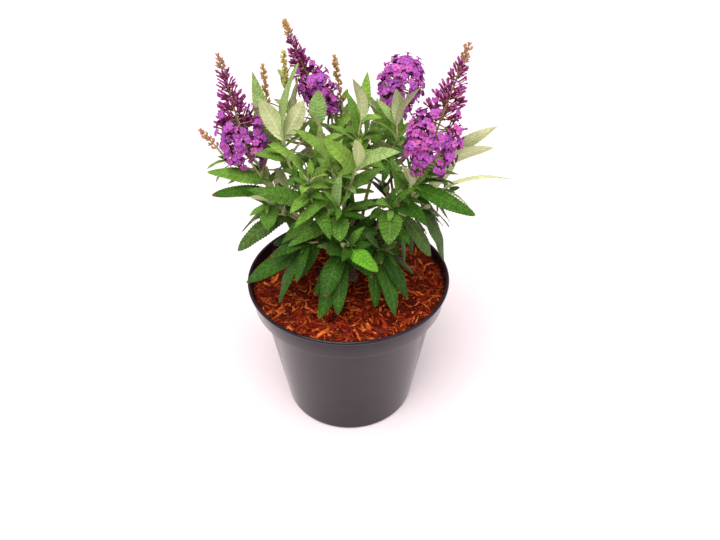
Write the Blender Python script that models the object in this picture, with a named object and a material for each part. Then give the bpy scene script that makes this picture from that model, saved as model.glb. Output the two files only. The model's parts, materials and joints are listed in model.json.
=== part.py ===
"""A butterfly bush growing in its nursery pot, as closed solids in metres, +Z up.

The pot stands on the origin and its front faces -Y. A short stem hidden in the crown forks
into twelve boughs. Each bough carries one mass of shoots, leaves and flower spikes, grown
by one seeded rule. The leaves and spikes that draw the crown's outline are named in CROWN.
"""

import math
import random
from collections import namedtuple

import bmesh
import bpy
from mathutils import Quaternion, Vector
from mathutils.bvhtree import BVHTree

MM = 0.001
GAP = 0.3 * MM  # between two solids that rest on each other
CLEAR = 0.7 * MM  # between a leaf and whatever it passes

# Pot
POT_HEIGHT = 150 * MM
POT_SIDES = 36
POT_WALL = 1.6 * MM
FOOT_RADIUS = 66 * MM
FOOT_EDGE = 2 * MM
FLOOR = 2.4 * MM
COLLAR_FOOT = 127 * MM  # height at which the wall steps out into the collar
WALL_TOP_RADIUS = 83.5 * MM
COLLAR_RADIUS = 90.8 * MM
NECK_RADIUS = 93.6 * MM  # outside, under the rim's bead
RIM_RADIUS = 95 * MM
BEAD_HEIGHT = 3.4 * MM
DRAIN_COUNT = 6
DRAIN_RADIUS = 6 * MM
DRAIN_CIRCLE = 50 * MM
DRAIN_SIDES = 10
DRAIN_CUT = 12 * MM

# Root ball with its bark mulch
MULCH_LEVEL = 140 * MM
MULCH_RINGS = (84, 70, 55, 40, 26)  # millimetres from the middle
MULCH_FLAT = 15 * MM  # radius of the level patch that the stem stands on
MULCH_RELIEF = 1.8 * MM
MULCH_WAVES = 5
SOIL_FIT = 0.4 * MM  # drawn in from the pot's profile

# Stem and boughs
HEAD_HEIGHT = 158 * MM  # centre of the swollen head that the boughs leave
HEAD_RADIUS = 8 * MM
STEM_PROFILE = ((13.5, 0), (10.2, 1.6), (8.0, 5), (6.9, 9.5))  # radius and height, millimetres
STEM_SIDES = 14
HEAD_LATITUDES = (-38, -12, 14, 40, 66)
FLARE_LOBES = 5
FLARE_SWELL = 0.16
FLARE_TURN = 0.7
BOUGH_RADII = (2.0 * MM, 1.5 * MM)
BOUGH_SIDES = 6
BOUGH_STEPS = 4
BOUGH_PULL = 0.36  # share of a bough's length at which its curve still holds its first heading
SHOOT_RADII = (1.7 * MM, 1.0 * MM)
SIDE_SHOOT_RADII = (1.4 * MM, 0.9 * MM)
SHOOT_SIDES = 3
SHOOT_STEPS = 5

# Leaves
LEAF_THICKNESS = 0.95 * MM
PETIOLE = 0.6 * MM  # half its width
WIDTH_OF_LENGTH = 0.29
ARCH = 0.09  # how far the blade rises over its chord, as a share of its length
FOLD = 0.22  # how far the margins stand over the midrib, as a share of half the width
SAG = 0.16
ROLL = 26  # most that a leaf turns about its own midrib, in degrees
LONG_LEAF = 44 * MM  # a longer leaf has two sections between its ends
LONG_STATIONS = (0.3, 0.68)
SHORT_STATIONS = (0.42,)
OPENS = (78, 36)  # angle between leaf and shoot at its first and last pair, in degrees
FLAT = (95, 78)  # the same for the low shoots that spread over the pot
TUFT_LENGTH = 0.62  # of the last two leaves at a shoot's tip, over the pair below them
TUFT_OPENING = 20
LEAF_FLOOR = 6 * MM  # lowest that an unmarked leaf's tip hangs over the mulch
LEAF_ROOT = 0.08  # a leaf may meet other masses before this share of its length
CLEAR_OF_OWN = 0.2  # and its own mass before this one
MARK_CLEAR_OF_OWN = 0.45  # the same for a marked leaf
MARK_NUDGES = ((0, 0, 0), (0, -3, 2), (0, 4, -2), (3, 5, 4), (-3, -6, 4))  # millimetres
TRIES = (
    (0, 0, 1.0),
    (16, 4, 1.0),
    (-16, -6, 0.95),
    (28, -12, 0.9),
    (-28, 10, 0.86),
    (42, 6, 0.8),
    (-42, -10, 0.74),
    (60, 0, 0.66),
)  # turn and opening in degrees, and share of the length

# Flowers
GOLDEN = math.radians(137.5)
FLOWER_STEPS = 3
FLOWER_ROOT = 2 * MM  # how far a spike's core is sunk into its shoot
CORE_END = 0.96  # share of the spike's length that its core reaches
TOP_CLUB = 0.86  # share at which the last cluster starts
CLUB_WAIST = 0.72  # share of a cluster's length at which it is widest
FORMS = {
    # count of clusters, how wide one is over the spike's width, rise of a cluster, core radius
    "cone": (27, 0.3, 0.45, 1.8 * MM),
    "dome": (28, 0.3, 0.35, 2.0 * MM),
    "bud": (8, 0.55, 0.9, 1.0 * MM),
}

SEED = 7
Shoot = namedtuple("Shoot", "through end parent at pairs first long short opens turn")
Flower = namedtuple("Flower", "shoot tip width form bow")
Mark = namedtuple("Mark", "shoot at tip width roll")
Leaf = namedtuple("Leaf", "base tip up width")
Mass = namedtuple("Mass", "foot azimuth elevation shoots flowers marks")


def shoot(
    through, end, parent=None, at=0.0, pairs=3, first=0.3, long=46, short=28, opens=OPENS, turn=20
):
    """A shoot and its pairs of leaves, which grow from long to short and from wide open to erect."""
    return Shoot(through, end, parent, at, pairs, first, long, short, opens, turn)


def flower(on, tip, width, form, bow=(0, 0, 0)):
    """A spike on the end of a shoot; bow moves the middle of its core."""
    return Flower(on, tip, width, form, bow)


def mark(on, at, tip, width=None, roll=0):
    """A leaf whose tip is given, because it draws the outline; roll turns its face, in degrees."""
    return Mark(on, at, tip, width, roll)


# The crown, in millimetres: the foot of each mass, the way its bough leaves the head in
# degrees, then its shoots, flowers and marked leaves.
CROWN = {
    "left": Mass(
        (-38, 4, 212), 172, 22,
        [
            shoot((-64, 4, 238), (-82, 10, 262), pairs=4, long=46),
            shoot((-96, 6, 263), (-108, 4, 279), parent=0, at=0.85, pairs=1, first=0.5, long=22),
            shoot((-66, 17, 272), (-63, 19, 287), parent=0, at=0.75, pairs=1, first=0.5, long=22),
        ],
        [
            flower(0, (-99, 16, 351), 44, "cone"),
            flower(1, (-119, 4, 294), 11, "bud"),
            flower(2, (-65, 20, 305), 13, "bud"),
        ],
        [
            mark(0, 0.62, (-117, 0, 257), 15, -35), mark(0, 0.4, (-114, -12, 242), 14, -20),
            mark(2, 0.5, (-75, 25, 334), 14, 165),
        ],
    ),
    "back_left": Mass(
        (-10, 22, 218), 128, 52,
        [
            shoot((-12, 38, 252), (-14, 48, 290), pairs=4, long=48),
            shoot((-42, 36, 272), (-51, 42, 316), parent=0, at=0.45, pairs=4, long=42, short=22),
            shoot((-60, 28, 280), (-67, 32, 306), parent=1, at=0.4, long=34, short=20),
        ],
        [
            flower(0, (-49, 46, 368), 38, "cone", (-5, 0, 2)),
            flower(1, (-51, 40, 345), 9, "bud"),
            flower(2, (-67, 30, 338), 10, "bud"),
        ],
        [mark(1, 0.5, (-38, 30, 330))],
    ),
    "centre_left": Mass(
        (-18, -2, 216), 192, 55,
        [
            shoot((-21, 4, 256), (-23, 10, 298), pairs=5, first=0.2, long=50, short=28),
            shoot((-42, -4, 254), (-52, -2, 290), parent=0, at=0.25, pairs=4, long=48, short=28),
            shoot((-27, -24, 240), (-29, -40, 273), parent=0, at=0.1, pairs=4, long=46, turn=60),
        ],
        [],
        [
            mark(1, 0.97, (-66, -12, 327), 15), mark(1, 0.97, (-31, -18, 328), 15),
            mark(1, 0.85, (-39, 0, 344)), mark(2, 0.95, (-56, -52, 309)),
            mark(2, 0.9, (-33, -62, 273)), mark(2, 0.55, (-77, -38, 263), 15, -25),
            mark(0, 0.97, (-23, 22, 320), 15), mark(2, 0.4, (-33, -44, 237)),
        ],
    ),
    "front": Mass(
        (-2, -14, 214), 268, 55,
        [
            shoot((-2, -28, 244), (9, -40, 285), pairs=4, first=0.2, long=48, short=28),
            shoot((-8, -30, 262), (-12, -28, 281), parent=0, at=0.5, long=42, short=26),
            shoot((-6, -36, 238), (-7, -44, 248), parent=0, at=0.25, pairs=1, first=0.4, long=28),
        ],
        [],
        [
            mark(0, 0.95, (40, -62, 308), 14, 35), mark(0, 0.92, (-18, -58, 317), 14, -50),
            mark(0, 0.98, (8, -58, 316)), mark(1, 0.92, (-38, -48, 319), 14, -50),
            mark(0, 0.35, (27, -46, 254)), mark(0, 0.6, (20, -42, 272)),
            mark(2, 0.95, (-18, -50, 269)), mark(2, 0.97, (-6, -50, 278)),
            mark(2, 0.95, (5, -50, 267)), mark(2, 0.6, (-5, -60, 228), 17),
        ],
    ),
    "back_right": Mass(
        (16, 18, 220), 40, 52,
        [
            shoot((27, 29, 258), (40, 41, 292), pairs=4, long=48),
            shoot((10, 14, 264), (12, 14, 297), parent=0, at=0.3, pairs=4, long=44, short=26),
            shoot((39, 15, 272), (41, 13, 295), parent=0, at=0.5, pairs=4, long=44, short=28),
        ],
        [flower(0, (49, 36, 341), 46, "dome")],
        [
            mark(1, 0.97, (5, 4, 337)), mark(1, 0.97, (14, 26, 328)), mark(1, 0.8, (0, 20, 320)),
            mark(2, 0.97, (59, 0, 332)), mark(2, 0.97, (39, 2, 329)),
        ],
    ),
    "right": Mass(
        (30, -8, 214), -12, 24,
        [
            shoot((46, -18, 242), (61, -20, 272), pairs=4, first=0.2, long=50, short=30),
            shoot((58, -11, 252), (65, -8, 267), parent=0, at=0.5, long=44, short=30),
            shoot((64, 6, 232), (84, 14, 232), parent=0, at=0.3, long=42, short=28),
        ],
        [flower(0, (89, -14, 369), 48, "cone", (-9, 0, 0))],
        [
            mark(1, 0.97, (116, -20, 308), 13, -75), mark(1, 0.85, (114, -28, 294), 14, -55),
            mark(1, 0.7, (92, -14, 263)), mark(2, 0.97, (146, 20, 239), 12, -60),
            mark(0, 0.72, (104, -40, 240), 16, 25), mark(0, 0.4, (57, -36, 238)),
        ],
    ),
    "low_left": Mass(
        (-16, -14, 198), 218, 20,
        [
            shoot((-38, -18, 218), (-62, -22, 240), pairs=4, first=0.2, long=50, short=36),
            shoot((-24, -26, 205), (-34, -33, 208), 0, 0.12, 2, 0.3, long=52, short=40, opens=FLAT),
        ],
        [],
        [
            mark(0, 0.97, (-63, -48, 231), 17), mark(0, 0.72, (-93, -38, 203), 16, -30),
            mark(1, 0.6, (-88, -45, 174), 17, -20), mark(1, 0.9, (-64, -52, 207), 15),
            mark(1, 0.97, (-59, -62, 164), 14), mark(1, 0.4, (-45, -40, 173), 14),
        ],
    ),
    "low_front": Mass(
        (-2, -20, 190), 265, 16,
        [
            shoot((-4, -34, 200), (1, -50, 217), pairs=3, first=0.2, long=46, short=28, turn=60),
        ],
        [],
        [
            mark(0, 0.96, (25, -74, 209), 16), mark(0, 0.55, (-18, -72, 180), 17),
            mark(0, 0.3, (-24, -72, 156), 17), mark(0, 0.35, (-8, -71, 160), 15),
            mark(0, 0.8, (-16, -58, 216), 16),
        ],
    ),
    "low_right": Mass(
        (14, -14, 196), 312, 20,
        [
            shoot((28, -28, 224), (36, -38, 246), pairs=3, first=0.25, long=48, short=32),
            shoot((21, -27, 198), (28, -35, 202), 0, 0.1, 2, 0.2, long=50, short=40, opens=FLAT),
            shoot((46, -20, 228), (62, -14, 230), parent=0, at=0.4, pairs=2, first=0.4, long=46, short=38),
        ],
        [],
        [
            mark(0, 0.96, (33, -70, 232), 19), mark(1, 0.6, (41, -70, 158), 18),
            mark(1, 0.95, (52, -54, 164), 16), mark(2, 0.5, (73, -28, 190), 16, 45),
            mark(2, 0.96, (87, -12, 173), 16, 55), mark(2, 0.3, (49, -40, 190), 13),
            mark(1, 0.35, (24, -62, 160), 13),
        ],
    ),
    "back": Mass(
        (4, 26, 212), 84, 50,
        [
            shoot((1, 48, 252), (-6, 62, 296), pairs=5, long=50, short=26),
            shoot((22, 62, 262), (32, 70, 284), parent=0, at=0.35, pairs=4, long=48),
            shoot((-2, 62, 232), (-4, 82, 248), parent=0, at=0.2, long=50, short=36),
        ],
        [flower(0, (-11, 60, 335), 11, "bud")],
        [],
    ),
    "low_back_left": Mass(
        (-22, 20, 202), 128, 18,
        [
            shoot((-46, 42, 226), (-68, 54, 254), pairs=5, first=0.2, long=52, short=32),
            shoot((-38, 60, 232), (-42, 78, 262), parent=0, at=0.3, pairs=4, long=50, turn=70),
            shoot((-44, 26, 208), (-58, 32, 214), 0, 0.1, 2, long=54, short=46, opens=FLAT),
        ],
        [flower(1, (-50, 87, 285), 10, "bud")],
        [],
    ),
    "low_back_right": Mass(
        (24, 20, 204), 42, 18,
        [
            shoot((52, 38, 230), (76, 50, 258), pairs=5, first=0.2, long=52, short=32),
            shoot((40, 60, 236), (46, 78, 266), parent=0, at=0.3, pairs=4, long=50, turn=70),
            shoot((46, 30, 208), (60, 38, 214), 0, 0.1, 2, long=54, short=46, opens=FLAT),
        ],
        [flower(1, (50, 84, 298), 11, "bud")],
        [],
    ),
}

COLOURS = {
    # base colour, roughness
    "pot": ((0.012, 0.012, 0.014), 0.18),
    "root_ball": ((0.16, 0.035, 0.012), 0.9),
    "stem": ((0.20, 0.12, 0.06), 0.75),
    "foliage": ((0.06, 0.16, 0.03), 0.6),
}


def vec(point):
    """A point given in millimetres."""
    return Vector(point) * MM


# Curves and solids

def along(curve, t):
    """Point and heading at t, from 0 to 1, on a Bezier curve of any degree."""
    points = list(curve)
    while len(points) > 2:
        points = [a.lerp(b, t) for a, b in zip(points, points[1:])]
    return points[0].lerp(points[1], t), (points[1] - points[0]).normalized()


def on_shoot(curve, t):
    """Point and heading at t on a shoot's solid, whose steps are straight."""
    step = min(int(t * SHOOT_STEPS), SHOOT_STEPS - 1)
    near = along(curve, step / SHOOT_STEPS)[0]
    far = along(curve, (step + 1) / SHOOT_STEPS)[0]
    return near.lerp(far, t * SHOOT_STEPS - step), along(curve, t)[1]


def arc_through(start, through, end):
    """The quadratic Bezier curve whose middle is at a point."""
    return start, 2 * through - (start + end) / 2, end


def square_to(vector, axis):
    """The part of a vector at right angles to an axis, one unit long."""
    rest = vector - axis * vector.dot(axis)
    return rest.normalized() if rest.length > 1e-9 else axis.orthogonal().normalized()


def loft(rings):
    """Vertices and triangles of a closed solid over rings of points; one point makes a tip."""
    verts = [point for ring in rings for point in ring]
    starts = [sum(len(ring) for ring in rings[:i]) for i in range(len(rings))]
    faces = []
    for i in range(len(rings) - 1):
        near, far = starts[i], starts[i + 1]
        here, there = len(rings[i]), len(rings[i + 1])
        for j in range(max(here, there)):
            a, b = near + j % here, near + (j + 1) % here
            c, d = far + (j + 1) % there, far + j % there
            if here > 1:
                faces.append((a, b, c))
            if there > 1:
                faces.append((a, c, d))
    for start, ring, turned in ((0, rings[0], True), (starts[-1], rings[-1], False)):
        for j in range(1, len(ring) - 1):
            cap = (start, start + j, start + j + 1)
            faces.append(cap[::-1] if turned else cap)
    volume = sum(verts[a].dot(verts[b].cross(verts[c])) for a, b, c in faces)
    return verts, faces if volume > 0 else [face[::-1] for face in faces]


def limb(curve, radii, sides, steps):
    """A tapering limb along a curve."""
    rings = []
    side = along(curve, 0)[1].orthogonal().normalized()
    for i in range(steps + 1):
        t = i / steps
        point, heading = along(curve, t)
        side = square_to(side, heading)
        other = heading.cross(side)
        radius = radii[0] + (radii[1] - radii[0]) * t
        angles = [math.tau * j / sides for j in range(sides)]
        rings.append([point + (side * math.cos(a) + other * math.sin(a)) * radius for a in angles])
    return loft(rings)


def turned(profile, sides, swelling=0.0, turn=0.0):
    """A solid turned about Z from (radius, height) points; the flare's lobes swell its first rings."""
    rings = []
    for i, (radius, height) in enumerate(profile):
        if radius == 0:
            rings.append([Vector((0, 0, height))])
            continue
        ring = []
        for j in range(sides):
            a = math.tau * j / sides
            swell = 1 + swelling * math.cos(FLARE_LOBES * a + turn) / (1 + 2 * i)
            ring.append(Vector((radius * swell * math.cos(a), radius * swell * math.sin(a), height)))
        rings.append(ring)
    return loft(rings)


# Leaves

def outline(t):
    """Half width of the blade over its greatest half width, from the petiole to the tip."""
    return math.sin(math.pi * t ** 0.85) ** 0.9 if 0 < t < 1 else 0.0


def blade_ring(leaf, t, fat):
    """The three corners of the blade's section: one margin, the midrib below, the other margin."""
    chord = leaf.tip - leaf.base
    curve = (leaf.base, leaf.base + chord / 2 + leaf.up * (2 * ARCH * chord.length), leaf.tip)
    point, heading = along(curve, t)
    up = square_to(leaf.up, heading)
    side = heading.cross(up)
    half = max(leaf.width / 2 * outline(t), PETIOLE * (1 - t)) + fat
    thick = LEAF_THICKNESS / 2 * (1 - 0.3 * t) + fat
    margin = up * (FOLD * half + fat)
    return [point + side * half + margin, point - up * thick, point - side * half + margin]


def leaf_solid(leaf, fat=0.0, start=0.0):
    """A leaf, or its part beyond start, grown on every side by fat to test its clearance."""
    stations = LONG_STATIONS if (leaf.tip - leaf.base).length > LONG_LEAF else SHORT_STATIONS
    rings = [blade_ring(leaf, start, fat)]
    rings += [blade_ring(leaf, t, fat) for t in stations if t > start + 0.05]
    tip = leaf.tip + (leaf.tip - leaf.base).normalized() * fat
    return loft(rings + [[tip]])


def leaf_at(base, tip, axis, width, roll=0.0):
    """A leaf whose upper face looks up, or towards the shoot that carries it where it is erect."""
    heading = (tip - base).normalized()
    up = square_to(axis + Vector((0, 0, 1)), heading)
    up = up * math.cos(roll) + heading.cross(up) * math.sin(roll)
    return Leaf(base, tip, up, width)


# Flowers

def spread(form, t):
    """Half width of a flower spike over its greatest half width, from foot to tip."""
    if form == "dome":
        return math.sqrt(max(0.0, 1 - (2 * t - 1) ** 2 * 0.86))
    if form == "bud":
        return 1 - 0.45 * t
    return min(1.0, 0.72 + 2.2 * t) * (1 - 0.78 * t ** 1.15)


def flower_solids(base, tip, width, form, bow):
    """A slender core and the clusters of blossom or buds that stand out of it."""
    count, cluster, rise, core = FORMS[form]
    curve = arc_through(base, (base + tip) / 2 + bow, tip)
    length = (tip - base).length
    sunk = base - along(curve, 0)[1] * FLOWER_ROOT
    top = along(curve, CORE_END)[0]
    solids = [limb((sunk, curve[1], top), (core, 0.6 * core), SHOOT_SIDES, FLOWER_STEPS)]
    for i in range(count):
        t = (i + 0.5) / count
        point, axis = along(curve, t)
        side = square_to(Vector((1, 0, 0)), axis)
        out = Quaternion(axis, i * GOLDEN) @ side
        reach = width / 2 * spread(form, t)
        start = along(curve, max(0.0, t - rise * reach / length))[0]
        thick = width * cluster * (0.5 + 0.5 * spread(form, t))
        solids.append(club(start, point + out * reach, thick))
    solids.append(club(along(curve, TOP_CLUB)[0], tip, width * cluster / 2 + core))
    return solids


def club(start, end, thick):
    """A cluster: narrow where it leaves the core, widest near its end."""
    heading = (end - start).normalized()
    side = heading.orthogonal().normalized() * (thick / 2)
    waist = start.lerp(end, CLUB_WAIST)
    thirds = [Quaternion(heading, math.tau * i / 3) for i in range(3)]
    return loft([[start], [waist + turn @ side for turn in thirds], [end]])


# Growth

class Space:
    """What already stands in the crown, by the mass that owns it."""

    def __init__(self):
        self.held = []

    def add(self, owner, solid):
        verts, faces = solid
        self.held.append((owner, *box_of(verts), BVHTree.FromPolygons(verts, faces)))

    def meets(self, owner, whole, outer):
        """Whether a leaf meets another owner, or its own mass with its outer part."""
        boxes = {True: (*box_of(outer[0]), outer), False: (*box_of(whole[0]), whole)}
        trees = {}
        for holder, low, high, tree in self.held:
            own = holder == owner
            near, far, solid = boxes[own]
            if any(far[k] < low[k] or near[k] > high[k] for k in range(3)):
                continue
            if own not in trees:
                trees[own] = BVHTree.FromPolygons(*solid)
            if trees[own].overlap(tree):
                return True
        return False


def box_of(verts):
    return [min(v[k] for v in verts) for k in range(3)], [max(v[k] for v in verts) for k in range(3)]


def shoot_curves(mass):
    """The curve of each shoot of a mass."""
    curves = []
    for item in mass.shoots:
        start = vec(mass.foot) if item.parent is None else on_shoot(curves[item.parent], item.at)[0]
        curves.append(arc_through(start, vec(item.through), vec(item.end)))
    return curves


def bough_curve(mass, first_shoot):
    """From the head of the stem to just short of the mass's foot, in line with its shoot."""
    azimuth, elevation = math.radians(mass.azimuth), math.radians(mass.elevation)
    level = math.cos(elevation)
    out = Vector((level * math.cos(azimuth), level * math.sin(azimuth), math.sin(elevation)))
    start = Vector((0, 0, HEAD_HEIGHT)) + out * (HEAD_RADIUS + GAP)
    heading = along(first_shoot, 0)[1]
    end = vec(mass.foot) - heading * GAP
    pull = (end - start).length * BOUGH_PULL
    return start, start + out * pull, end - heading * pull, end


def bough_solid(curve):
    return limb(curve, BOUGH_RADII, BOUGH_SIDES, BOUGH_STEPS)


def shoot_solid(curve, number):
    radii = SIDE_SHOOT_RADII if number else SHOOT_RADII
    return limb(curve, radii, SHOOT_SIDES, SHOOT_STEPS)


def pair_leaves(item, curve, dice, low_limit):
    """The trial positions of each leaf of a shoot: opposite pairs, each square to the last."""
    side = Vector((1, 0, 0))
    has_tuft = item.pairs > 1
    for k in range(item.pairs + has_tuft):
        share = min(1.0, k / max(1, item.pairs - 1))
        at = item.first + (0.96 - item.first) * share if item.pairs > 1 else item.first
        length = item.long + (item.short - item.long) * share
        opening = item.opens[0] + (item.opens[1] - item.opens[0]) * share
        if k == item.pairs:
            at, length, opening = 1.0, item.short * TUFT_LENGTH, TUFT_OPENING
        base, axis = on_shoot(curve, at)
        side = square_to(side, axis)
        for half in range(2):
            turn = item.turn + 90 * k + 180 * half + dice.uniform(-12, 12)
            grown = length * MM * dice.uniform(0.88, 1.12)
            tilt = opening + dice.uniform(-9, 9)
            roll = math.radians(dice.uniform(-ROLL, ROLL))
            trials = []
            for turn_by, open_by, share_of in TRIES:
                a = math.radians(turn + turn_by)
                b = math.radians(tilt + open_by)
                out = side * math.cos(a) + axis.cross(side) * math.sin(a)
                reach = grown * share_of
                tip = base + (axis * math.cos(b) + out * math.sin(b)) * reach
                level = Vector((tip.x - base.x, tip.y - base.y, 0)).length
                tip.z = max(tip.z - SAG * level, low_limit)
                trials.append(leaf_at(base, tip, axis, reach * WIDTH_OF_LENGTH, roll))
            yield trials


def grow():
    """Every limb, leaf and flower of the crown, each kept clear of what grew before it."""
    space = Space()
    for name, solid in pot_and_soil().items():
        space.add(name, solid)
    space.add("stem", stem_solid())
    curves, boughs, flowers = {}, {}, {}
    for name, mass in CROWN.items():
        curves[name] = shoot_curves(mass)
        boughs[name] = bough_curve(mass, curves[name][0])
        space.add("bough " + name, bough_solid(boughs[name]))
        for i, curve in enumerate(curves[name]):
            space.add(name, shoot_solid(curve, i))
        flowers[name] = [
            (curves[name][item.shoot][-1], vec(item.tip), item.width * MM, item.form, vec(item.bow))
            for item in mass.flowers
        ]
        for bloom in flowers[name]:
            for solid in flower_solids(*bloom):
                space.add(name, solid)
    leaves = {name: [] for name in CROWN}

    def try_leaf(name, trials, clear_of_own):
        for leaf in trials:
            whole = leaf_solid(leaf, CLEAR, LEAF_ROOT)
            outer = leaf_solid(leaf, CLEAR / 2, clear_of_own)
            if not space.meets(name, whole, outer):
                space.add(name, leaf_solid(leaf))
                leaves[name].append(leaf)
                return

    for name, mass in CROWN.items():
        for item in mass.marks:
            base, axis = on_shoot(curves[name][item.shoot], item.at)
            tip = vec(item.tip)
            width = item.width * MM if item.width else (tip - base).length * WIDTH_OF_LENGTH
            roll = math.radians(item.roll)
            trials = [leaf_at(base, tip + vec(nudge), axis, width, roll) for nudge in MARK_NUDGES]
            try_leaf(name, trials, MARK_CLEAR_OF_OWN)
    low_limit = MULCH_LEVEL + LEAF_FLOOR
    for number, (name, mass) in enumerate(CROWN.items()):
        dice = random.Random(SEED + number)
        for i, item in enumerate(mass.shoots):
            for trials in pair_leaves(item, curves[name][i], dice, low_limit):
                try_leaf(name, trials, CLEAR_OF_OWN)
    return curves, boughs, flowers, leaves


# Pot, soil and stem

def inner_side():
    """The pot's inner wall, from its floor up to the rim, as radius and height."""
    return [
        (FOOT_RADIUS - POT_WALL, FLOOR),
        (WALL_TOP_RADIUS - POT_WALL, COLLAR_FOOT + 0.9 * MM),
        (COLLAR_RADIUS - POT_WALL, COLLAR_FOOT + 2.4 * MM),
        (NECK_RADIUS - POT_WALL, POT_HEIGHT - 1.6 * MM),
    ]


def pot_profile():
    """Outer side from the middle of the foot up to the rim, then the inner side down."""
    top = POT_HEIGHT
    return [
        (0, 0),
        (FOOT_RADIUS - FOOT_EDGE, 0),
        (FOOT_RADIUS, FOOT_EDGE),
        (WALL_TOP_RADIUS, COLLAR_FOOT - 1 * MM),
        (COLLAR_RADIUS, COLLAR_FOOT + 0.6 * MM),
        (NECK_RADIUS, top - BEAD_HEIGHT),
        (RIM_RADIUS, top - BEAD_HEIGHT + 0.8 * MM),
        (RIM_RADIUS, top - 0.9 * MM),
        (RIM_RADIUS - 0.9 * MM, top),
        (NECK_RADIUS - POT_WALL + 0.7 * MM, top),
        *reversed(inner_side()),
        (0, FLOOR),
    ]


def soil_profile():
    """The pot's inside, drawn in by a gap, up to the mulch at the collar's wall."""
    fit = SOIL_FIT
    foot, step, collar, lip = inner_side()
    edge = MULCH_LEVEL - MULCH_RELIEF
    share = (edge - collar[1]) / (lip[1] - collar[1])
    edge_radius = collar[0] + (lip[0] - collar[0]) * share
    inside = [(radius - fit, height + fit) for radius, height in (foot, step, collar)]
    return [(0, FLOOR + fit), *inside, (edge_radius - fit, edge)]


def soil_solid():
    """The root ball, with the uneven top of its bark mulch and a level patch in the middle."""
    dice = random.Random(SEED)
    rings = []
    for radius, height in soil_profile():
        rings.append(circle(radius, height) if radius else [Vector((0, 0, height))])
    for radius in MULCH_RINGS:
        level = MULCH_LEVEL + dice.uniform(-0.3, 0.3) * MM
        ring = circle(radius * MM, level)
        for j, point in enumerate(ring):
            wave = math.sin(MULCH_WAVES * math.tau * j / POT_SIDES + radius) + dice.uniform(-0.6, 0.6)
            point.z += 0.5 * MULCH_RELIEF * wave
        rings.append(ring)
    rings.append(circle(MULCH_FLAT, MULCH_LEVEL))
    rings.append([Vector((0, 0, MULCH_LEVEL))])
    return loft(rings)


def circle(radius, height):
    angles = [math.tau * j / POT_SIDES for j in range(POT_SIDES)]
    return [Vector((radius * math.cos(a), radius * math.sin(a), height)) for a in angles]


def pot_and_soil():
    return {"pot": turned(pot_profile(), POT_SIDES), "root_ball": soil_solid()}


def stem_solid():
    """The hidden stem: root flare, neck and the head that the boughs leave."""
    ground = MULCH_LEVEL + GAP
    profile = [(0, ground)] + [(radius * MM, ground + height * MM) for radius, height in STEM_PROFILE]
    for latitude in HEAD_LATITUDES:
        a = math.radians(latitude)
        profile.append((HEAD_RADIUS * math.cos(a), HEAD_HEIGHT + HEAD_RADIUS * math.sin(a)))
    profile.append((0, HEAD_HEIGHT + HEAD_RADIUS))
    return turned(profile, STEM_SIDES, FLARE_SWELL, FLARE_TURN)


# Objects

def material(name):
    colour, roughness = COLOURS[name]
    made = bpy.data.materials.new(name)
    made.use_nodes = True
    shader = made.node_tree.nodes["Principled BSDF"]
    shader.inputs["Base Color"].default_value = (*colour, 1)
    shader.inputs["Roughness"].default_value = roughness
    return made


def mesh_object(name, solid, finish=None):
    mesh = bpy.data.meshes.new(name)
    mesh.from_pydata([tuple(v) for v in solid[0]], [], solid[1])
    if finish:
        mesh.materials.append(finish)
    made = bpy.data.objects.new(name, mesh)
    bpy.context.scene.collection.objects.link(made)
    return made


def joined(name, solids, finish):
    """One solid by a Boolean union of the first with the collection of the others."""
    pieces = bpy.data.collections.new(name + "_pieces")
    bpy.context.scene.collection.children.link(pieces)
    whole = mesh_object(name, solids[0], finish)
    for i, solid in enumerate(solids[1:]):
        piece = mesh_object(f"{name}_{i}", solid)
        bpy.context.scene.collection.objects.unlink(piece)
        pieces.objects.link(piece)
    union = whole.modifiers.new("union", "BOOLEAN")
    union.operation = "UNION"
    union.operand_type = "COLLECTION"
    union.collection = pieces
    union.solver = "MANIFOLD"
    bpy.context.view_layer.update()
    evaluated = whole.evaluated_get(bpy.context.evaluated_depsgraph_get())
    mesh = bpy.data.meshes.new_from_object(evaluated)
    keep_body(mesh)
    whole.modifiers.clear()
    whole.data = mesh
    for piece in list(pieces.objects):
        bpy.data.objects.remove(piece)
    bpy.data.collections.remove(pieces)
    return whole


def keep_body(mesh):
    """Keeps the largest shell of a mesh: a loose scrap is dropped and a sealed hollow filled."""
    shape = bmesh.new()
    shape.from_mesh(mesh)
    left = set(shape.verts)
    shells = []
    while left:
        shell, edge = set(), [left.pop()]
        while edge:
            vert = edge.pop()
            shell.add(vert)
            near = {link.other_vert(vert) for link in vert.link_edges} & left
            left -= near
            edge += near
        shells.append(shell)
    shells.sort(key=len)
    for shell in shells[:-1]:
        bmesh.ops.delete(shape, geom=list(shell), context="VERTS")
    shape.to_mesh(mesh)
    shape.free()


def add_drains(pot):
    """Six holes through the pot's floor, round a plain middle."""
    cutter_mesh = bpy.data.meshes.new("drain_cutter")
    shape = bmesh.new()
    for i in range(DRAIN_COUNT):
        a = math.tau * (i + 0.5) / DRAIN_COUNT
        made = bmesh.ops.create_cone(
            shape,
            cap_ends=True,
            segments=DRAIN_SIDES,
            radius1=DRAIN_RADIUS,
            radius2=DRAIN_RADIUS,
            depth=DRAIN_CUT,
        )
        place = Vector((math.cos(a), math.sin(a), 0)) * DRAIN_CIRCLE
        bmesh.ops.translate(shape, verts=made["verts"], vec=place)
    shape.to_mesh(cutter_mesh)
    shape.free()
    cutter = bpy.data.objects.new("drain_cutter", cutter_mesh)
    bpy.context.scene.collection.objects.link(cutter)
    cutter.hide_render = True
    cutter.display_type = "WIRE"
    cut = pot.modifiers.new("drains", "BOOLEAN")
    cut.operation = "DIFFERENCE"
    cut.object = cutter
    cut.solver = "EXACT"


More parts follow.
